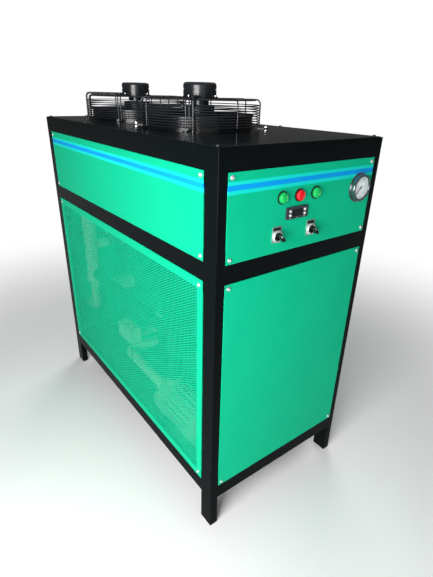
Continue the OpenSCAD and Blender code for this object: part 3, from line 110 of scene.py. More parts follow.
# Two tones, the least and greatest roughness, the noise sizes, the bump and the shader's constants
finishes = {
    # Sprayed enamel on steel tube: deep black with a faint orange peel
    "blackEnamel": dict(colour="#050A0B", shade="#080E10", rough=(0.2, 0.3), patchMm=180, smearMm=60,
                        grainMm=3, bump=0.04, bumpMm=0.15, edgeMm=2.6,
                        values={"IOR": 1.45, "Specular IOR Level": 0.14}),
    # The same enamel lying flat on the roof: dust and wiping marks dull it in places
    "roofEnamel": dict(colour="#0E1315", shade="#20272A", rough=(0.05, 0.2), patchMm=90, smearMm=45,
                       grainMm=8, bump=0.02, bumpMm=0.1, values={"IOR": 1.6}),
    # Powder coat baked on folded sheet: even, satin green with a fine peel
    "greenPowder": dict(colour="#0CBF8E", shade="#0BB587", rough=(0.3, 0.4), patchMm=260, smearMm=80,
                        grainMm=1.8, bump=0.1, bumpMm=0.15,
                        values={"IOR": 1.46, "Specular IOR Level": 0.06}),
    # The same powder on perforated sheet, a little duller where it is dusty
    "meshPowder": dict(colour="#0EC090", shade="#0CB085", rough=(0.32, 0.45), patchMm=150, smearMm=60,
                       grainMm=1.5, bump=0.06, bumpMm=0.1,
                       values={"IOR": 1.46, "Specular IOR Level": 0.12}),
    # Hot dip galvanised sheet: grey spangle
    "zincSheet": dict(colour="#A6ADB0", shade="#858D92", rough=(0.3, 0.5), patchMm=14, smearMm=8,
                      grainMm=1.2, bump=0.08, bumpMm=0.1, values={"Metallic": 0.9}),
    # Bright zinc plate on screws and bolts; its whitened colour and pale diffuse share are painted glint
    "zincPaintedGlint": dict(colour="#EEF1F2", shade="#D3D8DA", rough=(0.2, 0.34), patchMm=3, smearMm=2,
                      grainMm=0.5, bump=0.05, bumpMm=0.05, values={"Metallic": 0.7, "IOR": 1.5}),
    # Polished stainless steel of the gauge's case, its colour darkened as painted reflection of a dark room
    "steelPaintedDarkReflection": dict(colour="#A3A9AF", shade="#8B9299", rough=(0.16, 0.3), patchMm=20, smearMm=5,
                          grainMm=4, bump=0.03, bumpMm=0.05, values={"Metallic": 1.0}),
    # Satin chrome on moulded plastic with a pale diffuse share, painted reflection that keeps it pale in
    # the dark
    "chromePaintedReflection": dict(colour="#F2F3F4", shade="#DFE2E4", rough=(0.26, 0.4), patchMm=12, smearMm=4,
                        grainMm=1.5, bump=0.05, bumpMm=0.04, values={"Metallic": 0.55, "IOR": 1.5}),
    # Moulded ABS and nylon: matte black with a fine spark texture
    "blackMoulding": dict(colour="#101214", shade="#17191B", rough=(0.42, 0.58), patchMm=25, smearMm=9,
                          grainMm=0.7, bump=0.12, bumpMm=0.05, values={"IOR": 1.5}),
    # Glossy phenolic of the knobs
    "knobMoulding": dict(colour="#08090A", shade="#0F1112", rough=(0.14, 0.28), patchMm=12, smearMm=5,
                         grainMm=1.5, bump=0.05, bumpMm=0.04, values={"IOR": 1.55}),
    # Dark slate ABS front of the controller
    "slateMoulding": dict(colour="#2B3036", shade="#363C43", rough=(0.32, 0.46), patchMm=18, smearMm=7,
                          grainMm=0.6, bump=0.08, bumpMm=0.04, values={"IOR": 1.5}),
    # White silicone keys
    "keySilicone": dict(colour="#EDEFEE", shade="#DADEDC", rough=(0.4, 0.55), patchMm=5, smearMm=3,
                        grainMm=0.5, bump=0.06, bumpMm=0.03, values={"IOR": 1.43}),
    # Brushed aluminium legend plates; their pale diffuse share is painted sheen
    "legendPaintedSheen": dict(colour="#C8CCCE", shade="#A9AEB1", rough=(0.22, 0.36), patchMm=4, smearMm=1,
                        grainMm=0.4, bump=0.1, bumpMm=0.03, values={"Metallic": 0.7, "IOR": 1.5}),
    # White baked enamel on the gauge's dial
    "dialEnamel": dict(colour="#F1F3F2", shade="#E3E7E6", rough=(0.35, 0.45), patchMm=20, smearMm=8,
                       grainMm=1, bump=0.03, bumpMm=0.03, values={"IOR": 1.5}),
    # Polyester dip on the wire guards: black, lifted toward blue-grey as painted sheen, half gloss
    "wireCoatPaintedSheen": dict(colour="#1A1E23", shade="#242930", rough=(0.25, 0.4), patchMm=40, smearMm=14,
                     grainMm=1.2, bump=0.1, bumpMm=0.1, values={"IOR": 1.6}),
    # Stoved paint on the pressed motor caps: blue-black and smooth
    "capPaint": dict(colour="#191D22", shade="#23282E", rough=(0.2, 0.34), patchMm=30, smearMm=16,
                     grainMm=2, bump=0.04, bumpMm=0.1, values={"IOR": 1.55}),
    # Black paint inside and outside the venturi rings
    "ringPaint": dict(colour="#0A0C0E", shade="#13161A", rough=(0.16, 0.32), patchMm=50, smearMm=20,
                      grainMm=2, bump=0.05, bumpMm=0.1, values={"IOR": 1.5}),
    # Dark painted rotor can and blades, dusted grey at the edges
    "rotorPaint": dict(colour="#1A1D20", shade="#2C3135", rough=(0.3, 0.5), patchMm=60, smearMm=18,
                       grainMm=1.6, bump=0.08, bumpMm=0.12, values={"IOR": 1.5, "Metallic": 0.2}),
    # Aluminium fins with a film of dust
    "finSheet": dict(colour="#A9ACA9", shade="#8B8C86", rough=(0.35, 0.55), patchMm=45, smearMm=12,
                     grainMm=1.4, bump=0.15, bumpMm=0.2, values={"Metallic": 0.75}),
    # Compressor shell: thick black stove enamel
    "stoveEnamel": dict(colour="#0A0C0E", shade="#14171A", rough=(0.16, 0.3), patchMm=70, smearMm=25,
                        grainMm=2.5, bump=0.12, bumpMm=0.2, values={"IOR": 1.5}),
    # Vulcanised rubber: matte and slightly grey
    "mountRubber": dict(colour="#121314", shade="#1D1F20", rough=(0.65, 0.82), patchMm=12, smearMm=6,
                        grainMm=0.8, bump=0.15, bumpMm=0.06, values={"IOR": 1.52}),
    # Drawn copper tube: warm, with darker heat tints near the joints
    "drawnCopper": dict(colour="#C77F52", shade="#94583A", rough=(0.22, 0.42), patchMm=70, smearMm=14,
                        grainMm=1.5, bump=0.06, bumpMm=0.08, values={"Metallic": 1.0}),
    # Closed cell foam round the tank
    "tankFoam": dict(colour="#1B1E20", shade="#26292B", rough=(0.72, 0.88), patchMm=90, smearMm=22,
                     grainMm=2.4, bump=0.35, bumpMm=0.4, values={"IOR": 1.45}),
    # Grey hammered paint of the pump
    "pumpPaint": dict(colour="#AEB5B6", shade="#959C9E", rough=(0.26, 0.42), patchMm=50, smearMm=12,
                      grainMm=3, bump=0.2, bumpMm=0.25, values={"IOR": 1.5}),
    # Ground steel shaft
    "groundSteel": dict(colour="#C9CDCF", shade="#AEB3B6", rough=(0.15, 0.28), patchMm=8, smearMm=3,
                        grainMm=0.6, bump=0.05, bumpMm=0.04, values={"Metallic": 1.0}),
    # White unplasticised PVC pipe: faint gloss, slightly warm
    "whitePvc": dict(colour="#E9ECE8", shade="#DADFDB", rough=(0.3, 0.44), patchMm=80, smearMm=30,
                     grainMm=2, bump=0.06, bumpMm=0.08, values={"IOR": 1.54}),
    # Cast and turned brass
    "castBrass": dict(colour="#C7A35F", shade="#A17F45", rough=(0.25, 0.42), patchMm=22, smearMm=8,
                      grainMm=1, bump=0.1, bumpMm=0.08, values={"Metallic": 1.0}),
    # White cast handle of the valve
    "castHandle": dict(colour="#E6E9E5", shade="#D3D8D4", rough=(0.32, 0.46), patchMm=20, smearMm=8,
                       grainMm=1, bump=0.08, bumpMm=0.06, values={"IOR": 1.5}),
    # Grey and cream housings of the switchgear
    "gearMoulding": dict(colour="#8C9296", shade="#767D82", rough=(0.4, 0.55), patchMm=60, smearMm=20,
                         grainMm=0.8, bump=0.08, bumpMm=0.05, values={"IOR": 1.5}),
    # Printed film on the legend plates: black, slightly glossy
    "filmBlack": dict(colour="#0D0F11", shade="#15181B", rough=(0.22, 0.34), patchMm=8, smearMm=3,
                      grainMm=0.5, bump=0.05, bumpMm=0.02, values={"IOR": 1.5}),
    # Smoked acrylic over the controller's figures
    "smokedAcrylic": dict(colour="#060708", shade="#0B0C0F", rough=(0.05, 0.12), patchMm=12, smearMm=5,
                          grainMm=2, bump=0.02, bumpMm=0.02, values={"IOR": 1.49}),
    # Unlit figures behind the window
    "segmentInk": dict(colour="#23272B", shade="#2B2F33", rough=(0.2, 0.3), patchMm=4, smearMm=2,
                       grainMm=0.4, bump=0.02, bumpMm=0.01, values={"IOR": 1.49}),
    # Pale print on the controller
    "paleInk": dict(colour="#DDE1E3", shade="#C9CED1", rough=(0.4, 0.5), patchMm=4, smearMm=2,
                    grainMm=0.4, bump=0.03, bumpMm=0.01, values={"IOR": 1.5}),
    # Dark print on the dial
    "dialInk": dict(colour="#2A2D30", shade="#363A3E", rough=(0.4, 0.5), patchMm=4, smearMm=2,
                    grainMm=0.4, bump=0.03, bumpMm=0.01, values={"IOR": 1.5}),
    # Pale lacquered housing of the pressure switch
    "paleLacquer": dict(colour="#E8EBE9", shade="#D6DAD8", rough=(0.28, 0.4), patchMm=30, smearMm=10,
                        grainMm=1, bump=0.05, bumpMm=0.05, values={"IOR": 1.5}),
}


def finishMaterial(name):
    # builds one of the finishes above
    finish = finishes[name]
    made, tree, shader, place = newMaterial(name, finish["values"])
    addSurface(tree, shader, place, finish)
    return made


stripes = dict(lowMm=900, highMm=1100, edgesMm=(1032, 1040, 1052, 1060),
               blue="#0D9BE8", cyan="#16D8CC")


def stripedPowder():
    # the green powder coat with a blue stripe between two cyan ones, laid on as film at fixed heights
    finish = finishes["greenPowder"]
    made, tree, shader, place = newMaterial("stripedPowder", finish["values"])
    tone = addSurface(tree, shader, place, finish)
    height = addNode(tree, "SeparateXYZ", links={"Vector": place})
    share = addNode(tree, "MapRange", values={"From Min": stripes["lowMm"] * mm,
                    "From Max": stripes["highMm"] * mm}, links={"Value": height.outputs["Z"]})
    span = stripes["highMm"] - stripes["lowMm"]
    edges = [(edge - stripes["lowMm"]) / span for edge in stripes["edgesMm"]]
    band = addNode(tree, "ValToRGB", links={"Fac": share.outputs[0]})
    where = addNode(tree, "ValToRGB", links={"Fac": share.outputs[0]})
    for ramp, colours in ((band, ["cyan", "cyan", "blue", "cyan", "cyan"]), (where, [0, 1, 1, 1, 0])):
        stops = ramp.color_ramp
        stops.interpolation = "CONSTANT"
        stops.elements.remove(stops.elements[0])
        for i, key in enumerate(colours):
            stop = stops.elements[0] if i == 0 else stops.elements.new(edges[i - 1])
            stop.position = 0 if i == 0 else edges[i - 1]
            stop.color = linearColour(stripes[key]) if isinstance(key, str) else [key, key, key, 1]
    film = addNode(tree, "Mix", {"data_type": "RGBA"}, links={0: where.outputs["Color"],
                   6: tone.outputs[2], 7: band.outputs["Color"]})
    tree.links.new(film.outputs[2], shader.inputs["Base Color"])
    return made


lens = dict(ribMm=1.6, bump=0.25, bumpMm=0.3, scatterM=0.004,
            values={"Roughness": 0.14, "IOR": 1.49, "Transmission Weight": 0.12, "Subsurface Weight": 0.15,
                    "Subsurface Scale": 1.0, "Coat Weight": 0.4, "Coat Roughness": 0.06})


def lensMoulding(name, colour, shade, glow):
    # tinted acrylic lens: clear gloss outside, fine prisms moulded inside that break up the light
    made, tree, shader, place = newMaterial(name, {**lens["values"], "Emission Strength": glow,
                                                   "Emission Color": linearColour(colour),
                                                   "Subsurface Radius": (lens["scatterM"],) * 3})
    prisms = addNode(tree, "TexVoronoi", values={"Scale": 1 / (lens["ribMm"] * mm)},
                     links={"Vector": place})
    tone = addNode(tree, "Mix", {"data_type": "RGBA"}, {6: linearColour(colour),
                   7: linearColour(shade)}, {0: prisms.outputs["Distance"]})
    bump = addNode(tree, "Bump", values={"Strength": lens["bump"], "Distance": lens["bumpMm"] * mm},
                   links={"Height": prisms.outputs["Distance"]})
    tree.links.new(tone.outputs[2], shader.inputs["Base Color"])
    tree.links.new(bump.outputs[0], shader.inputs["Normal"])
    return made


glass = dict(tint="#F4F8F8", ior=1.5, smearMm=9, detail=5.0, rough=(0.0, 0.06))


def clearGlass(name):
    # flat window glass: clear, with a faint smear in its gloss; light passes it straight
    tint = linearColour(glass["tint"])
    made, tree, shader, place = newMaterial(name, {"Base Color": tint, "IOR": glass["ior"],
                                                   "Transmission Weight": 1.0})
    smear = addNode(tree, "TexNoise", values={"Scale": 1 / (glass["smearMm"] * mm),
                    "Detail": glass["detail"]}, links={"Vector": place})
    gloss = addNode(tree, "MapRange", values={"To Min": glass["rough"][0], "To Max": glass["rough"][1]},
                    links={"Value": smear.outputs["Fac"]})
    tree.links.new(gloss.outputs[0], shader.inputs["Roughness"])
    passed = addNode(tree, "BsdfTransparent", values={"Color": tint})
    ray = addNode(tree, "LightPath")
    both = addNode(tree, "MixShader", links={0: ray.outputs["Is Shadow Ray"], 1: shader.outputs[0],
                   2: passed.outputs[0]})
    addNode(tree, "OutputMaterial", links={"Surface": both.outputs[0]}).is_active_output = True
    return made


materialOf = {
    "filmBlack": [],
    "smokedAcrylic": [],
    "segmentInk": [],
    "paleInk": [],
    "dialInk": [],
    "blackEnamel": ["corner_posts", "top_rails", "mid_rails", "base_rails", "panel_tabs"],
    "roofEnamel": ["top_sheet"],
    "greenPowder": ["front_panel", "rear_upper_panel", "rear_panel", "left_mesh_frame",
                    "right_mesh_frame"],
    "meshPowder": ["left_mesh", "right_mesh"],
    "zincSheet": ["base_tray", "condenser_casing"],
    "zincPaintedGlint": ["panel_screws", "fan_bolts"],
    "steelPaintedDarkReflection": ["gauge_case"],
    "chromePaintedReflection": ["selector_bezels"],
    "blackMoulding": ["post_plugs", "lamp_bodies", "selector_blocks", "cable_gland", "gauge_needle",
                      "tank_lid"],
    "knobMoulding": ["selector_knob_left", "selector_knob_right"],
    "slateMoulding": ["controller_case"],
    "keySilicone": ["key_upper_left", "key_lower_left", "key_upper_right", "key_lower_right"],
    "legendPaintedSheen": ["selector_legends"],
    "dialEnamel": ["gauge_dial"],
    "wireCoatPaintedSheen": ["front_fan_guard", "rear_fan_guard"],
    "capPaint": ["fan_motors"],
    "ringPaint": ["fan_shrouds"],
    "rotorPaint": ["front_fan_rotor", "rear_fan_rotor"],
    "finSheet": ["condenser_coil"],
    "stoveEnamel": ["compressor"],
    "mountRubber": ["compressor_mounts", "pump_hose"],
    "drawnCopper": ["refrigerant_pipes"],
    "tankFoam": ["water_tank"],
    "pumpPaint": ["pump"],
    "groundSteel": ["pump_shaft"],
    "whitePvc": ["water_pipes"],
    "castBrass": ["water_ports", "valve_body"],
    "castHandle": ["valve_lever"],
    "gearMoulding": ["switchgear"],
    "paleLacquer": ["pressure_switches"],
}


def dress(node, material):
    # gives a CAD node one material
    slots = nodes[node].data.materials
    slots.clear()
    slots.append(material)


acrylics = {"greenAcrylic": dict(colour="#11C865", shade="#089A45", glow=0.16),
            "redAcrylic": dict(colour="#EE1222", shade="#C00912", glow=0.14)}
madeOf = {}
for finishName, members in materialOf.items():
    madeOf[finishName] = finishMaterial(finishName)
    for member in members:
        dress(member, madeOf[finishName])
madeOf["stripedPowder"] = stripedPowder()
for member in ("control_panel", "left_upper_panel", "right_upper_panel"):
    dress(member, madeOf["stripedPowder"])
for acrylicName, acrylic in acrylics.items():
    madeOf[acrylicName] = lensMoulding(acrylicName, **acrylic)
dress("green_lenses", madeOf["greenAcrylic"])
dress("red_lens", madeOf["redAcrylic"])
dress("gauge_glass", clearGlass("gaugeGlass"))
print("materials:", len(bpy.data.materials))


# New pieces

smoothDeg = 38


def newPiece(name, points, faces, material, body="cabinet", slot=None, node=None, smooth=False):
    # a mesh from an array of points and a list of faces, riding on a body, in the place of a CAD node
    data = bpy.data.meshes.new(name)
    data.from_pydata(points.tolist(), [], faces.tolist() if hasattr(faces, "tolist") else faces)
    if smooth:
        data.shade_smooth()
        data.set_sharp_from_angle(angle=math.radians(smoothDeg))
    data.materials.append(material)
    data.update()
    made = bpy.data.objects.new(name, data)
    bpy.context.scene.collection.objects.link(made)
    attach(made, body)
    if node:
        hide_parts(node)


perforation = dict(pitchMm=7.8, holeMm=6.3, lapMm=3, sides=6, parts=3, weldMm=0.01)


def perforatedPart(name, node, part):
    # A staggered grid of six-sided cells round a six-sided hole, on both faces of the sheet.
    # Columns stand pitch * sin 60 apart and every second one is half a pitch higher. A cell's corners
    # lie pitch / sqrt 3 from its centre, so the cells meet and their shared points are welded.
    low, high = (np.array(corner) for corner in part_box(node))
    pitch, lap = perforation["pitchMm"] * mm, perforation["lapMm"] * mm
    stepY = pitch * math.sin(math.radians(60))
    columns = int((high[1] - low[1] - 2 * lap) / stepY) + 1
    rows = int((high[2] - low[2] - 2 * lap) / pitch) + 1
    i = np.array_split(np.arange(columns + 1), perforation["parts"])[part]
    gridI, gridJ = (g.ravel() for g in np.meshgrid(i, np.arange(rows)))
    midY = (low[1] + high[1]) / 2 + (gridI - columns / 2) * stepY
    midZ = (low[2] + high[2]) / 2 + (gridJ - (rows - 0.5) / 2 + (gridI % 2) / 2) * pitch
    sides = perforation["sides"]
    k = np.arange(sides)
    turn = np.radians(k * 360 / sides)
    corners = np.stack([np.cos(turn), np.sin(turn)], 1)
    outerR, innerR = pitch / math.sqrt(3), perforation["holeMm"] * mm / 2
    ring = np.concatenate([corners * outerR, corners * innerR])
    centres = np.stack([midY, midZ], 1)
    flat = (centres[:, None, :] + ring[None, :, :]).reshape(-1, 2)
    points = np.concatenate([np.column_stack([np.full(len(flat), x), flat]) for x in (low[0], high[0])])
    after = (k + 1) % sides
    fan = np.concatenate([np.stack([k, after, sides + k], 1),
                          np.stack([after, sides + after, sides + k], 1)])
    shift = (np.arange(len(centres)) * len(ring))[:, None, None]
    front = (fan[None] + shift).reshape(-1, 3)
    back = front[:, ::-1] + len(flat)
    start, end = (np.stack([sides + k, sides + after], 1)[None] + shift).reshape(-1, 2).T
    walls = np.concatenate([np.column_stack([end, start, start + len(flat)]),
                            np.column_stack([end, start + len(flat), end + len(flat)])])
    faces = np.concatenate([front, back, walls])
    keys = np.round(points / (perforation["weldMm"] * mm)).astype(np.int64)
    first, same = np.unique(keys, axis=0, return_index=True, return_inverse=True)[1:]
    faces = same.ravel()[faces]
    newPiece(name, points[first], faces[:, ::-1], madeOf["meshPowder"], slot="green_mesh", node=node)


for side in ("left", "right"):
    for part in range(perforation["parts"]):
        perforatedPart(f"{side}Perforation{part}", f"{side}_mesh", part)
print("perforated sheets")


faceY = -567.0


def facing(points, centreMm, outward, up=(0, 0, 1)):
    # local x, y and z become the side, up and outward directions round a centre
    side = np.cross(up, outward)
    return (np.array(centreMm) + points @ np.array([side, up, outward], float)) * mm


def onFront(points, xMm, outMm, zMm):
    # on the front panels, with the local zero outMm before their face
    return facing(points, (xMm, faceY - outMm, zMm), (0, -1, 0))


def turnZ(degrees):
    # a matrix that turns row vectors about local z
    a = math.radians(degrees)
    return np.array([[math.cos(a), math.sin(a), 0], [-math.sin(a), math.cos(a), 0], [0, 0, 1.0]])


def turned(profile, count, flutes=0, depth=0.0):
    # Rings at radius r and height h: (r cos a, r sin a, h).
    # With flutes, r loses depth * (1 - cos(flutes a)) / 2.
    angle = np.linspace(0, 2 * math.pi, count, endpoint=False)
    cut = depth * (1 - np.cos(flutes * angle)) / 2
    rings = []
    for r, h in profile:
        radius = r - cut * (r > depth)
        heights = np.full(count, float(h))
        rings.append(np.stack([radius * np.cos(angle), radius * np.sin(angle), heights], 1))
    return np.array(rings)


def skin(rings):
    # joins rings of equal length by quads and closes the first and the last with one face each
    count, size = rings.shape[:2]
    k = np.arange(size)
    turnK = (k + 1) % size
    quads = np.concatenate([np.stack([i * size + k, i * size + turnK, (i + 1) * size + turnK,
                                      (i + 1) * size + k], 1) for i in range(count - 1)]).tolist()
    caps = [list(range(size))[::-1], list(range((count - 1) * size, count * size))]
    return rings.reshape(-1, 3), quads + caps


def loopSkin(rings):
    # joins rings of equal length by quads, the last one back to the first
    points, faces = skin(rings)
    count, size = rings.shape[:2]
    last = (count - 1) * size
    k = np.arange(size)
    turnK = (k + 1) % size
    return points, faces[:-2] + np.stack([last + k, last + turnK, turnK, k], 1).tolist()


def merged(parts):
    # several (points, faces) as one
    points, faces, base = [], [], 0
    for some, joined in parts:
        points.append(some)
        faces += [[v + base for v in face] for face in joined]
        base += len(some)
    return np.concatenate(points), faces


def outline(width, height, corner, steps=5):
    # a rounded rectangle: corner arcs round the four corner centres
    points = []
    for turn, (x, y) in enumerate(((1, 1), (-1, 1), (-1, -1), (1, -1))):
        for s in range(steps + 1):
            angle = math.pi / 2 * (turn + s / steps)
            points.append([x * (width / 2 - corner) + corner * math.cos(angle),
                           y * (height / 2 - corner) + corner * math.sin(angle), 0])
    return np.array(points)


def slab(width, height, corner, thick, edge):
    # a rounded plate whose front edge falls away by edge on both sides of the corner
    low = outline(width, height, corner)
    top = outline(width - 2 * edge, height - 2 * edge, corner)
    lift = np.array([0, 0, 1.0])
    return np.array([low, low + lift * (thick - edge), top + lift * thick])


screwHead = dict(washerR=5.5, washerH=1.0, washerEdge=0.2, headR=4.3, headH=2.6, headEdge=0.3,
                 headRound=0.35, domeR=8.6, recessR=2.3, recessDeep=1.2, lipShare=0.9, rootShare=0.35,
                 floorShare=0.8, armShare=0.7, webShare=0.45, tipR=0.1, shankR=1.85, shankLen=9,
                 count=16, armEvery=4)
screwPlaces = dict(frontX=244, sideUpperY=504, sideLowerY=499, facesY=567, facesX=282,
                   frontZ=(173, 811, 883, 1069), lowerZ=(178, 806), upperZ=(883, 1069),
                   roofX=267.5, roofY=545, roofRow=4, roofZ=1131.5, panelTurn=37.0, roofTurn=53.0)


def screwRings():
    # Washer, then a dome of height sqrt(domeR^2 - r^2) - (domeR - headH), sunk in a cross at every
    # fourth angle.
    s = screwHead
    rise = s["washerH"] + s["headH"] - s["domeR"]

    def dome(r):
        return rise + math.sqrt(s["domeR"] ** 2 - r * r)

    shoulderR, deep = s["headR"] - s["headRound"], s["recessDeep"]
    rings = turned([(s["shankR"], -s["shankLen"]), (s["shankR"], 0), (s["washerR"], 0),
                    (s["washerR"], s["washerH"] - s["washerEdge"]),
                    (s["washerR"] - s["washerEdge"], s["washerH"]), (s["headR"], s["washerH"]),
                    (s["headR"], dome(s["headR"]) - s["headEdge"]), (shoulderR, dome(shoulderR)),
                    (s["recessR"], dome(s["recessR"])),
                    (s["recessR"] * s["lipShare"], dome(s["recessR"])),
                    (s["recessR"] * s["rootShare"], dome(0) - deep * s["floorShare"]),
                    (s["tipR"], dome(0) - deep)], s["count"])
    arms = np.arange(s["count"]) % s["armEvery"] == 0
    lip, root = rings[-3], rings[-2]
    lip[arms, 2] -= deep * s["armShare"]
    root[~arms, 2] += deep * s["webShare"]
    return rings


def screwHeads():
    # the same screw at each corner of each panel, and eight on the roof, each turned a little differently
    p = screwPlaces
    places = [((x, y * p["facesY"], z), (0, y, 0)) for x in (-p["frontX"], p["frontX"])
              for y in (-1, 1) for z in p["frontZ"]]
    for spanY, heights in ((p["sideUpperY"], p["upperZ"]), (p["sideLowerY"], p["lowerZ"])):
        places += [((x * p["facesX"], y, z), (x, 0, 0)) for x in (-1, 1) for y in (-spanY, spanY)
                   for z in heights]
    roofPlaces = [(x, y, p["roofZ"]) for x in (-p["roofX"], p["roofX"])
                  for y in np.linspace(-p["roofY"], p["roofY"], p["roofRow"])]
    points, faces = skin(screwRings())
    panel = [(facing(points @ turnZ(p["panelTurn"] * i), centre, outward), faces)
             for i, (centre, outward) in enumerate(places)]
    roof = [(facing(points @ turnZ(p["roofTurn"] * i), centre, (0, 0, 1), (0, 1, 0)), faces)
            for i, centre in enumerate(roofPlaces)]
    for name, parts, finishName in (("screwHeads", panel, "zincPaintedGlint"), ("roofScrews", roof, "wireCoatPaintedSheen")):
        newPiece(name, *merged(parts), madeOf[finishName], slot="screw_steel", node="panel_screws",
                 smooth=True)


lamps = dict(xMm=(-91, -33, 25), zMm=1009, lensR=13, lensH=11, seatH=1, edge=0.4, tipR=0.3, flutes=32,
             fluteDeep=0.45, count=128,
             steps=((0, 0.5), (0.3, 0.66), (1.2, 0.8), (2.8, 0.88), (3.0, 0.85), (5.4, 0.94), (5.6, 0.91),
                    (8.4, 0.985), (8.6, 0.96)))


def lampLens(index, name, node, material, slotName):
    # A fluted side, a rounded shoulder and a shallow dome with three stepped prism rings. Each step is
    # an inset from the lens radius and a share of its height.
    d = lamps
    r, h = d["lensR"], d["lensH"]
    profile = [(r - d["edge"], 0), (r, d["edge"])]
    profile += [(r - inset, h * share) for inset, share in d["steps"]] + [(d["tipR"], h)]
    points, faces = skin(turned(profile, d["count"], d["flutes"], d["fluteDeep"]))
    placed = onFront(points, d["xMm"][index], d["seatH"], d["zMm"])
    newPiece(name, placed, faces, material, slot=slotName, node=node, smooth=True)


selectors = dict(xMm=(-100, 20), zMm=916, seatMm=1.5, neckR=11, neckMm=0.8, boreR=5.1, ringR=15, ringH=7,
                 ringEdge=0.3, lip=((0, 2.0), (0.25, 1.2), (0.8, 0.4), (1.5, 0)), innerR=12, innerEdge=0.6,
                 floorH=3, gapMm=0.3, stemR=4.9, stemH=8.5, baseR=9.5, baseH=5, baseEdge=0.6,
                 gripHalf=4.0, gripR=13.5, gripH=13.9, gripPower=8, gripStep=0.02,
                 crown=((1.6, 1.0), (0.5, 0.96), (0.1, 0.9), (0, 0.84)), turnDeg=45, count=96,
                 indexMm=(1.5, 8.5, 0.7, 0.09, 0.03), indexAt=6.0)


def bezelRings():
    # A turned ring with a rolled outer edge and a step down to its floor, closed round the neck.
    # Each pair of lip is an inset from the ring's radius and a fall from its height.
    d = selectors
    r, h, n, edge = d["ringR"], d["ringH"], d["innerR"], d["innerEdge"]
    back = -d["neckMm"] - d["seatMm"]
    profile = [(d["neckR"], back), (d["neckR"], 0), (r - d["ringEdge"], 0), (r, d["ringEdge"])]
    profile += [(r - inset, h - fall) for inset, fall in d["lip"]]
    profile += [(n + edge, h), (n, h - edge), (n, d["floorH"]), (d["boreR"], d["floorH"]),
                (d["boreR"], back)]
    points, faces = loopSkin(turned(profile, d["count"]))
    parts = [(onFront(points, x, d["seatMm"], d["zMm"]), faces) for x in d["xMm"]]
    newPiece("bezelRings", *merged(parts), madeOf["chromePaintedReflection"], slot="bezel_chrome",
             node="selector_bezels", smooth=True)


def leverKnob(index, body, node):
    # A round base under a slim grip. The grip's outline is the smooth meeting of a strip and a circle:
    # r = ((|cos a| / half width)^power + (1 / grip radius)^power)^(-1 / power). Each pair of crown is a
    # fall from the top and the outline's scale there.
    d = selectors
    power, count = d["gripPower"], d["count"]
    angle = np.linspace(0, 2 * math.pi, count, endpoint=False)
    grip = ((np.abs(np.cos(angle)) / d["gripHalf"]) ** power + float(d["gripR"]) ** -power) ** (-1 / power)
    top = d["baseH"] + d["gripH"]
    base = [(-d["stemH"], d["stemR"]), (0, d["stemR"]), (0, d["baseR"]),
            (d["baseH"] - d["baseEdge"], d["baseR"]), (d["baseH"], d["baseR"] - d["baseEdge"])]
    levels = [(z, np.full(count, float(r))) for z, r in base] + [(d["baseH"] + d["gripStep"], grip)]
    levels += [(top - fall, grip * scale) for fall, scale in d["crown"]]
    rings = [np.stack([r * np.cos(angle), r * np.sin(angle), np.full(count, float(z))], 1)
             for z, r in levels]
    points, faces = skin(np.array(rings))
    place = (d["xMm"][index], d["seatMm"] + d["floorH"] + d["gapMm"], d["zMm"])
    turn = turnZ(d["turnDeg"])
    newPiece(node + "Lever", onFront(points @ turn, *place), faces, madeOf["knobMoulding"], body,
             "knob_plastic", node, smooth=True)
    line, lineFaces = skin(slab(*d["indexMm"]))
    line = (line + np.array([0, d["indexAt"], top])) @ turn
    newPiece(node + "Index", onFront(line, *place), lineFaces, madeOf["keySilicone"], body)


legends = dict(fieldMm=(25.6, 7.6, 0.6, 0.5, 0.1), outMm=0.82, upMm=18)


def legendFields():
    # a dark film in the sunk field of each legend plate
    points, faces = skin(slab(*legends["fieldMm"]))
    parts = [(onFront(points, x, legends["outMm"], selectors["zMm"] + legends["upMm"]), faces)
             for x in selectors["xMm"]]
    newPiece("legendFields", *merged(parts), madeOf["filmBlack"])


display = dict(xMm=-38, zMm=968, windowMm=(34.6, 16.6, 0.6, 0.7, 0.15), windowOut=4.02, digits=3,
               digitMm=(5.2, 9.4), pitchMm=8.6, strokeMm=0.9, endMm=0.25, inkMm=0.05, segmentOut=4.71,
               marks=((-25, 5.0), (0, 4.0), (25, 5.0)), markMm=(1.3, 0.5, 0.05, 0.02), markOut=5.0,
               markDown=12)


def displayWindow():
    # a smoked acrylic window that fills the sunk opening of the controller
    points, faces = skin(slab(*display["windowMm"]))
    newPiece("displayWindow", onFront(points, display["xMm"], display["windowOut"], display["zMm"]),
             faces, madeOf["smokedAcrylic"])


def displaySegments():
    # Three unlit figures of seven segments: each is a six-cornered bar between two corners of the figure.
    d = display
    w, h = d["digitMm"]
    half = d["strokeMm"] / 2
    ends = [((0, 2), (1, 2)), ((0, 1), (1, 1)), ((0, 0), (1, 0)), ((0, 1), (0, 2)), ((1, 1), (1, 2)),
            ((0, 0), (0, 1)), ((1, 0), (1, 1))]
    parts = []
    for digit in range(d["digits"]):
        for start, end in ends:
            a = np.array([(start[0] - 0.5) * w, (start[1] - 1) * h / 2])
            b = np.array([(end[0] - 0.5) * w, (end[1] - 1) * h / 2])
            along = (b - a) / np.linalg.norm(b - a)
            across = np.array([-along[1], along[0]]) * half
            a, b = a + along * d["endMm"], b - along * d["endMm"]
            nearA, nearB = a + along * half, b - along * half
            flat = np.array([a, nearA - across, nearB - across, b, nearB + across, nearA + across])
            flat = flat + np.array([(digit - (d["digits"] - 1) / 2) * d["pitchMm"], 0])
            low = np.column_stack([flat, np.zeros(len(flat))])
            points, faces = skin(np.array([low, low + np.array([0, 0, d["inkMm"]])]))
            parts.append((onFront(points, d["xMm"], d["segmentOut"], d["zMm"]), faces))
    newPiece("displaySegments", *merged(parts), madeOf["segmentInk"])


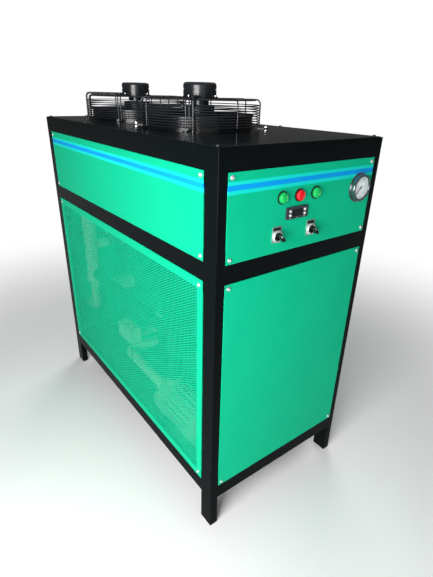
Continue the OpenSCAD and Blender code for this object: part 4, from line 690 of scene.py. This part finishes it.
def controllerMarks():
    # three small pale marks printed along the controller's lower edge
    d = display
    parts = []
    for x, wide in d["marks"]:
        points, faces = skin(slab(wide, *d["markMm"]))
        parts.append((onFront(points, d["xMm"] + x, d["markOut"], d["zMm"] - d["markDown"]), faces))
    newPiece("controllerMarks", *merged(parts), madeOf["paleInk"])


gauge = dict(xMm=201, zMm=1003, caseR=36, flangeR=40, deep=14, neckR=6, neckMm=26, beadR=2.2, beadSteps=6,
             lipR=30, grooveR=34, floorMm=6, tipR=0.5, count=144,
             flange=((0.3, 0), (0, 0.4), (0, 1.6), (0.5, 2)),
             wall=((-0.4, 2), (0, 2.4), (0, 4.0), (0.35, 4.4), (0.35, 4.9), (0, 5.3), (0, 8.6), (0.35, 9.0),
                   (0.35, 9.4), (0, 9.8)),
             lip=((0.8, 0), (0.2, 0.3), (0, 0.9), (0, 1.95)))
dial = dict(outMm=6.8, sweepDeg=270, divisions=50, marksR=26.5, inkMm=0.05, cornerMm=0.1, edgeMm=0.01,
            sizesMm=((10, 3.4, 0.7), (5, 2.4, 0.4), (1, 1.7, 0.25)), arcMm=0.3, arcSteps=120,
            figures=("0", "2", "4", "6", "8", "10"), figureMm=5.4, figureR=20.2, figureDeep=0.02,
            figureOut=0.03)


def gaugeShell():
    # A pressed case with a beaded rim: a flange, a wall with two grooves, a quarter round of beadR into a
    # flat ring, and a lip. Each pair is an inset from the radius and a height, or a fall from the front.
    d = gauge
    r, deep, bead = d["caseR"], d["deep"], d["beadR"]
    profile = [(d["neckR"], -d["neckMm"]), (d["neckR"], 0)]
    profile += [(d["flangeR"] - inset, z) for inset, z in d["flange"]]
    profile += [(r - inset, z) for inset, z in d["wall"]]
    profile += [(r - bead + bead * math.cos(a), deep - bead + bead * math.sin(a))
                for a in np.linspace(0, math.pi / 2, d["beadSteps"])]
    profile += [(d["lipR"] + out, deep - fall) for out, fall in d["lip"]]
    profile += [(d["grooveR"], deep - d["lip"][-1][1]), (d["grooveR"], d["floorMm"]),
                (d["tipR"], d["floorMm"])]
    points, faces = skin(turned(profile, d["count"]))
    newPiece("gaugeShell", onFront(points, d["xMm"], 0, d["zMm"]), faces, madeOf["steelPaintedDarkReflection"],
             slot="gauge_steel", node="gauge_case", smooth=True)


def onDial(points):
    # on the dial's face, round its centre
    return onFront(points, gauge["xMm"], dial["outMm"], gauge["zMm"])


def dialMarks():
    # Fifty divisions over the sweep, each fifth longer and each tenth longest; a thin arc joins them.
    d = dial
    sweep, outerR, ink = d["sweepDeg"], d["marksR"], d["inkMm"]
    parts = []
    for k in range(d["divisions"] + 1):
        long, wide = next(size for every, *size in d["sizesMm"] if k % every == 0)
        points, faces = skin(slab(wide, long, d["cornerMm"], ink, d["edgeMm"]))
        points = points + np.array([0, outerR - long / 2, 0])
        parts.append((onDial(points @ turnZ(sweep / 2 - sweep * k / d["divisions"])), faces))
    size = d["arcSteps"]
    angle = np.radians(90 + np.linspace(-sweep / 2, sweep / 2, size))
    arcR = outerR + d["arcMm"]
    rings = [np.stack([r * np.cos(angle), r * np.sin(angle), np.full(size, h)], 1)
             for r, h in ((outerR, 0), (arcR, 0), (arcR, ink), (outerR, ink))]
    faces = []
    for i in range(4):
        j = (i + 1) % 4
        faces += [[i * size + k, j * size + k, j * size + k + 1, i * size + k + 1] for k in range(size - 1)]
    faces += [[0, 3 * size, 2 * size, size], [size - 1, 2 * size - 1, 3 * size - 1, 4 * size - 1]]
    parts.append((onDial(np.concatenate(rings)), faces))
    newPiece("dialMarks", *merged(parts), madeOf["dialInk"])


def dialFigures():
    # the plain figures of the scale, inside its marks
    d = dial
    for k, text in enumerate(d["figures"]):
        turn = math.radians(90 + d["sweepDeg"] / 2 - d["sweepDeg"] * k / (len(d["figures"]) - 1))
        curve = bpy.data.curves.new(f"figure{k}", "FONT")
        curve.body = text
        curve.size = d["figureMm"]
        curve.extrude = d["figureDeep"]
        curve.align_x = "CENTER"
        curve.align_y = "CENTER"
        shown = bpy.data.objects.new(f"figureText{k}", curve)
        bpy.context.scene.collection.objects.link(shown)
        bpy.context.view_layer.update()
        flat = shown.to_mesh()
        points = np.array([v.co for v in flat.vertices])
        faces = [list(p.vertices) for p in flat.polygons]
        shown.to_mesh_clear()
        bpy.data.objects.remove(shown)
        bpy.data.curves.remove(curve)
        points = points + np.array([d["figureR"] * math.cos(turn), d["figureR"] * math.sin(turn),
                                    d["figureOut"]])
        newPiece(f"dialFigure{k}", onDial(points), faces, madeOf["dialInk"])


guards = dict(frontY=-92, rearY=338, floorZ=1131.5, rimR=189, high=84, ribR=2, ribSides=10, wireR=1.5,
              wireSides=8, bendR=14, bendSteps=7, sink=0.8, innerR=50, outerR=62, plateH=3,
              plateEdge=0.4, ribStartR=58, lowZ=9, sideRings=9, topRings=6, feet=4, pairMm=5,
              footR=208, padR=8.5, padH=3, padSteps=13, strapMm=16, strapR=183, strapEdge=0.3,
              topShare=0.96, edgeShare=0.9, count=96)


def hoop(r, z, thick):
    # A torus: the section's point at b is (r + thick cos b, z + thick sin b), turned round the axis.
    angle = np.linspace(0, 2 * math.pi, guards["wireSides"], endpoint=False)
    return loopSkin(turned([(r + thick * math.cos(b), z + thick * math.sin(b)) for b in angle],
                           guards["count"]))


def ribTube(low):
    # A round bar in the x-z plane: in from the rim, a quarter bend of bendR, and down to the height low.
    # The section at each path point is n1 cos b + n2 sin b, where n2 is y and n1 is y cross the tangent.
    d = guards
    bendR, axisR, axisZ = d["bendR"], d["rimR"] - d["ribR"], d["high"] - d["ribR"]
    path = [(d["ribStartR"], axisZ)]
    path += [(axisR - bendR + bendR * math.cos(a), axisZ - bendR + bendR * math.sin(a))
             for a in np.radians(np.linspace(90, 0, d["bendSteps"]))]
    path = np.array([(x, 0, z) for x, z in path + [(axisR, low)]])
    along = np.diff(path, axis=0)
    along = along / np.linalg.norm(along, axis=1)[:, None]
    tangent = np.concatenate([along[:1], along[:-1] + along[1:], along[-1:]])
    tangent = tangent / np.linalg.norm(tangent, axis=1)[:, None]
    across = np.array([0, 1.0, 0])
    n1 = np.cross(across, tangent)
    angle = np.linspace(0, 2 * math.pi, d["ribSides"], endpoint=False)
    rings = path[:, None, :] + d["ribR"] * (n1[:, None, :] * np.cos(angle)[None, :, None]
                                            + across * np.sin(angle)[None, :, None])
    return skin(rings)


def footStrap():
    # a flat strap that ends in a half round pad, with a softened top edge
    d = guards
    half, padR = d["strapMm"] / 2, d["padR"]
    rim = [(d["strapR"], -half)]
    rim += [(d["footR"] + padR * math.cos(a), padR * math.sin(a))
            for a in np.radians(np.linspace(-90, 90, d["padSteps"]))]
    rim += [(d["strapR"], half)]
    low = np.array([[x, y, 0.0] for x, y in rim])
    edge = np.array([[x - d["strapEdge"], y * d["topShare"], 0.0] for x, y in rim])
    lift = np.array([0, 0, d["padH"]])
    return skin(np.array([low, low + lift * d["edgeShare"], edge + lift]))


def guardWires(name, node, centreY):
    # side and top hoops on four single ribs and four pairs, each pair on the strap of a foot
    d = guards
    wireR, high, edge = d["wireR"], d["high"], d["plateEdge"]
    hoopR = d["rimR"] - 2 * d["ribR"] - wireR + d["sink"]
    topZ = high - 2 * d["ribR"] - wireR + d["sink"]
    lastZ = high - d["ribR"] - d["bendR"] - 2 * wireR
    flatR = d["rimR"] - d["ribR"] - d["bendR"]
    parts = [hoop(hoopR, z, wireR) for z in np.linspace(d["lowZ"], lastZ, d["sideRings"])]
    parts += [hoop(r, topZ, wireR) for r in np.linspace(d["outerR"], flatR, d["topRings"] + 1)[1:]]
    low = high - d["plateH"]
    parts.append(loopSkin(turned([(d["outerR"], low), (d["outerR"], high - edge),
                                  (d["outerR"] - edge, high), (d["innerR"] + edge, high),
                                  (d["innerR"], high - edge), (d["innerR"], low)], d["count"])))
    single, paired, strap = ribTube(d["lowZ"] - wireR), ribTube(d["padH"] / 2), footStrap()
    for foot in range(d["feet"]):
        ribTurn, footTurn = (turnZ((foot + share) * 360 / d["feet"]) for share in (0, 0.5))
        parts.append((single[0] @ ribTurn, single[1]))
        for shift in (-d["pairMm"], d["pairMm"]):
            parts.append(((paired[0] + np.array([0, shift, 0])) @ footTurn, paired[1]))
        parts.append((strap[0] @ footTurn, strap[1]))
    points, faces = merged(parts)
    placed = (points + np.array([0, centreY, d["floorZ"]])) * mm
    newPiece(name, placed, faces, madeOf["wireCoatPaintedSheen"], slot="fan_paint", node=node, smooth=True)


guardWires("frontGuardWires", "front_fan_guard", guards["frontY"])
guardWires("rearGuardWires", "rear_fan_guard", guards["rearY"])
screwHeads()
lampLens(0, "leftLens", "green_lenses", madeOf["greenAcrylic"], "lens_green")
lampLens(2, "rightLens", "green_lenses", madeOf["greenAcrylic"], "lens_green")
lampLens(1, "middleLens", "red_lens", madeOf["redAcrylic"], "lens_red")
bezelRings()
leverKnob(0, "left_knob", "selector_knob_left")
leverKnob(1, "right_knob", "selector_knob_right")
legendFields()
displayWindow()
displaySegments()
controllerMarks()
gaugeShell()
dialMarks()
dialFigures()


# Floor, light and camera

studio = dict(floorM=9.0, floorSides=96, floorColour="#F4F4F4", worldLevel=0.2, floorGloss=0.24,
              skyGloss=(0.035, 0.32), skyRise=(0.1, 0.8), hazeRise=0.16, hazeGloss=0.06, fadeM=(0.9, 2.6))


def makeFloor():
    # a flat disc: near the object it is pale and takes its shadow, and further out it fades to white
    sides = studio["floorSides"]
    turn = np.linspace(0, 2 * math.pi, sides, endpoint=False)
    rim = np.stack([np.cos(turn), np.sin(turn), np.zeros(sides)], 1) * studio["floorM"]
    data = bpy.data.meshes.new("floor")
    data.from_pydata(rim.tolist(), [], [list(range(sides))])
    floor = bpy.data.objects.new("floor", data)
    bpy.context.scene.collection.objects.link(floor)
    made = bpy.data.materials.new("paleFloor")
    made.use_nodes = True
    tree = made.node_tree
    tree.nodes.clear()
    place = addNode(tree, "TexCoord").outputs["Object"]
    far = addNode(tree, "VectorMath", {"operation": "LENGTH"}, links={0: place})
    fade = addNode(tree, "MapRange", {"interpolation_type": "SMOOTHSTEP"},
                   {"From Min": studio["fadeM"][0], "From Max": studio["fadeM"][1]},
                   {"Value": far.outputs["Value"]})
    ray = addNode(tree, "LightPath")
    seen = addNode(tree, "Math", {"operation": "MAXIMUM"}, links={0: ray.outputs["Is Camera Ray"],
                   1: ray.outputs["Is Transmission Ray"]})
    amount = addNode(tree, "Math", {"operation": "MULTIPLY"}, links={0: seen.outputs[0],
                     1: fade.outputs[0]})
    pale = addNode(tree, "BsdfDiffuse", values={"Color": linearColour(studio["floorColour"])})
    white = addNode(tree, "Emission", values={"Color": (1, 1, 1, 1), "Strength": 1.0})
    both = addNode(tree, "MixShader", links={0: amount.outputs[0], 1: pale.outputs[0], 2: white.outputs[0]})
    dim = addNode(tree, "Emission", values={"Color": (1, 1, 1, 1), "Strength": studio["floorGloss"]})
    both = addNode(tree, "MixShader", links={0: ray.outputs["Is Glossy Ray"], 1: both.outputs[0],
                   2: dim.outputs[0]})
    addNode(tree, "OutputMaterial", links={"Surface": both.outputs[0]})
    data.materials.append(made)


def makeWorld():
    # White where the camera and glass look and a middle level as light. Gloss sees a dark studio that
    # grows lighter upwards, over a faint bright band along the horizon.
    world = bpy.data.worlds.new("studioWorld")
    world.use_nodes = True
    tree = world.node_tree
    tree.nodes.clear()
    ray = addNode(tree, "LightPath")
    seen = addNode(tree, "Math", {"operation": "MAXIMUM"}, links={0: ray.outputs["Is Camera Ray"],
                   1: ray.outputs["Is Transmission Ray"]})
    height = addNode(tree, "SeparateXYZ", links={0: addNode(tree, "TexCoord").outputs["Generated"]})
    sky = addNode(tree, "MapRange", {"interpolation_type": "SMOOTHSTEP"},
                  {"From Min": studio["skyRise"][0], "From Max": studio["skyRise"][1],
                   "To Min": studio["skyGloss"][0], "To Max": studio["skyGloss"][1]},
                  {"Value": height.outputs["Z"]})
    haze = addNode(tree, "MapRange", values={"From Min": studio["hazeRise"], "From Max": 0.0,
                   "To Max": studio["hazeGloss"]}, links={"Value": height.outputs["Z"]})
    gloss = addNode(tree, "Math", {"operation": "ADD"}, links={0: sky.outputs[0], 1: haze.outputs[0]})
    unseen = addNode(tree, "MapRange", values={"To Min": studio["worldLevel"]},
                     links={"Value": ray.outputs["Is Glossy Ray"], "To Max": gloss.outputs[0]})
    level = addNode(tree, "MapRange", values={"To Max": 1.0},
                    links={"Value": seen.outputs[0], "To Min": unseen.outputs[0]})
    glow = addNode(tree, "Background", values={"Color": (1, 1, 1, 1)}, links={"Strength": level.outputs[0]})
    addNode(tree, "OutputWorld", links={"Surface": glow.outputs[0]})
    bpy.context.scene.world = world


softboxes = {
    "keyBox": dict(place=(-1.5, -1.06, 1.0), aim=(-0.2, -0.3, 0.6), size=1.0, watts=45, gloss=True),
    "fillBox": dict(place=(-0.8, -2.8, 0.7), aim=(0, -0.4, 0.3), size=1.6, watts=7, gloss=True),
    "backBox": dict(place=(2.6, 2.4, 2.8), aim=(0, 0, 0.7), size=2.0, watts=60, gloss=False),
}


def makeSoftbox(name, box):
    # a square area light that faces its aim
    data = bpy.data.lights.new(name, "AREA")
    data.energy = box["watts"]
    data.size = box["size"]
    light = bpy.data.objects.new(name, data)
    bpy.context.scene.collection.objects.link(light)
    light.location = box["place"]
    light.visible_glossy = box["gloss"]
    light.visible_camera = False
    toAim = Vector(box["aim"]) - Vector(box["place"])
    light.rotation_euler = toAim.to_track_quat("-Z", "Y").to_euler()


cameraView = dict(placeMm=(-807.17, -1260.26, 1229.95), right=(0.80158, -0.59749, 0.02177),
                  forward=(0.54864, 0.72059, -0.42396), lensMm=26.1, clipM=0.05)


def makeCamera():
    # solved from the box's edges in the photograph
    right = Vector(cameraView["right"]).normalized()
    forward = Vector(cameraView["forward"]).normalized()
    up = right.cross(forward).normalized()
    right = forward.cross(up)
    data = bpy.data.cameras.new("camera")
    data.lens = cameraView["lensMm"]
    data.clip_start = cameraView["clipM"]
    camera = bpy.data.objects.new("camera", data)
    bpy.context.scene.collection.objects.link(camera)
    turn = Matrix([right, up, -forward]).transposed().to_4x4()
    camera.matrix_world = Matrix.Translation(Vector(cameraView["placeMm"]) * mm) @ turn
    bpy.context.scene.camera = camera


makeFloor()
makeWorld()
for boxName, box in softboxes.items():
    makeSoftbox(boxName, box)
makeCamera()
bpy.context.scene.view_settings.view_transform = "Standard"
print("studio ready")
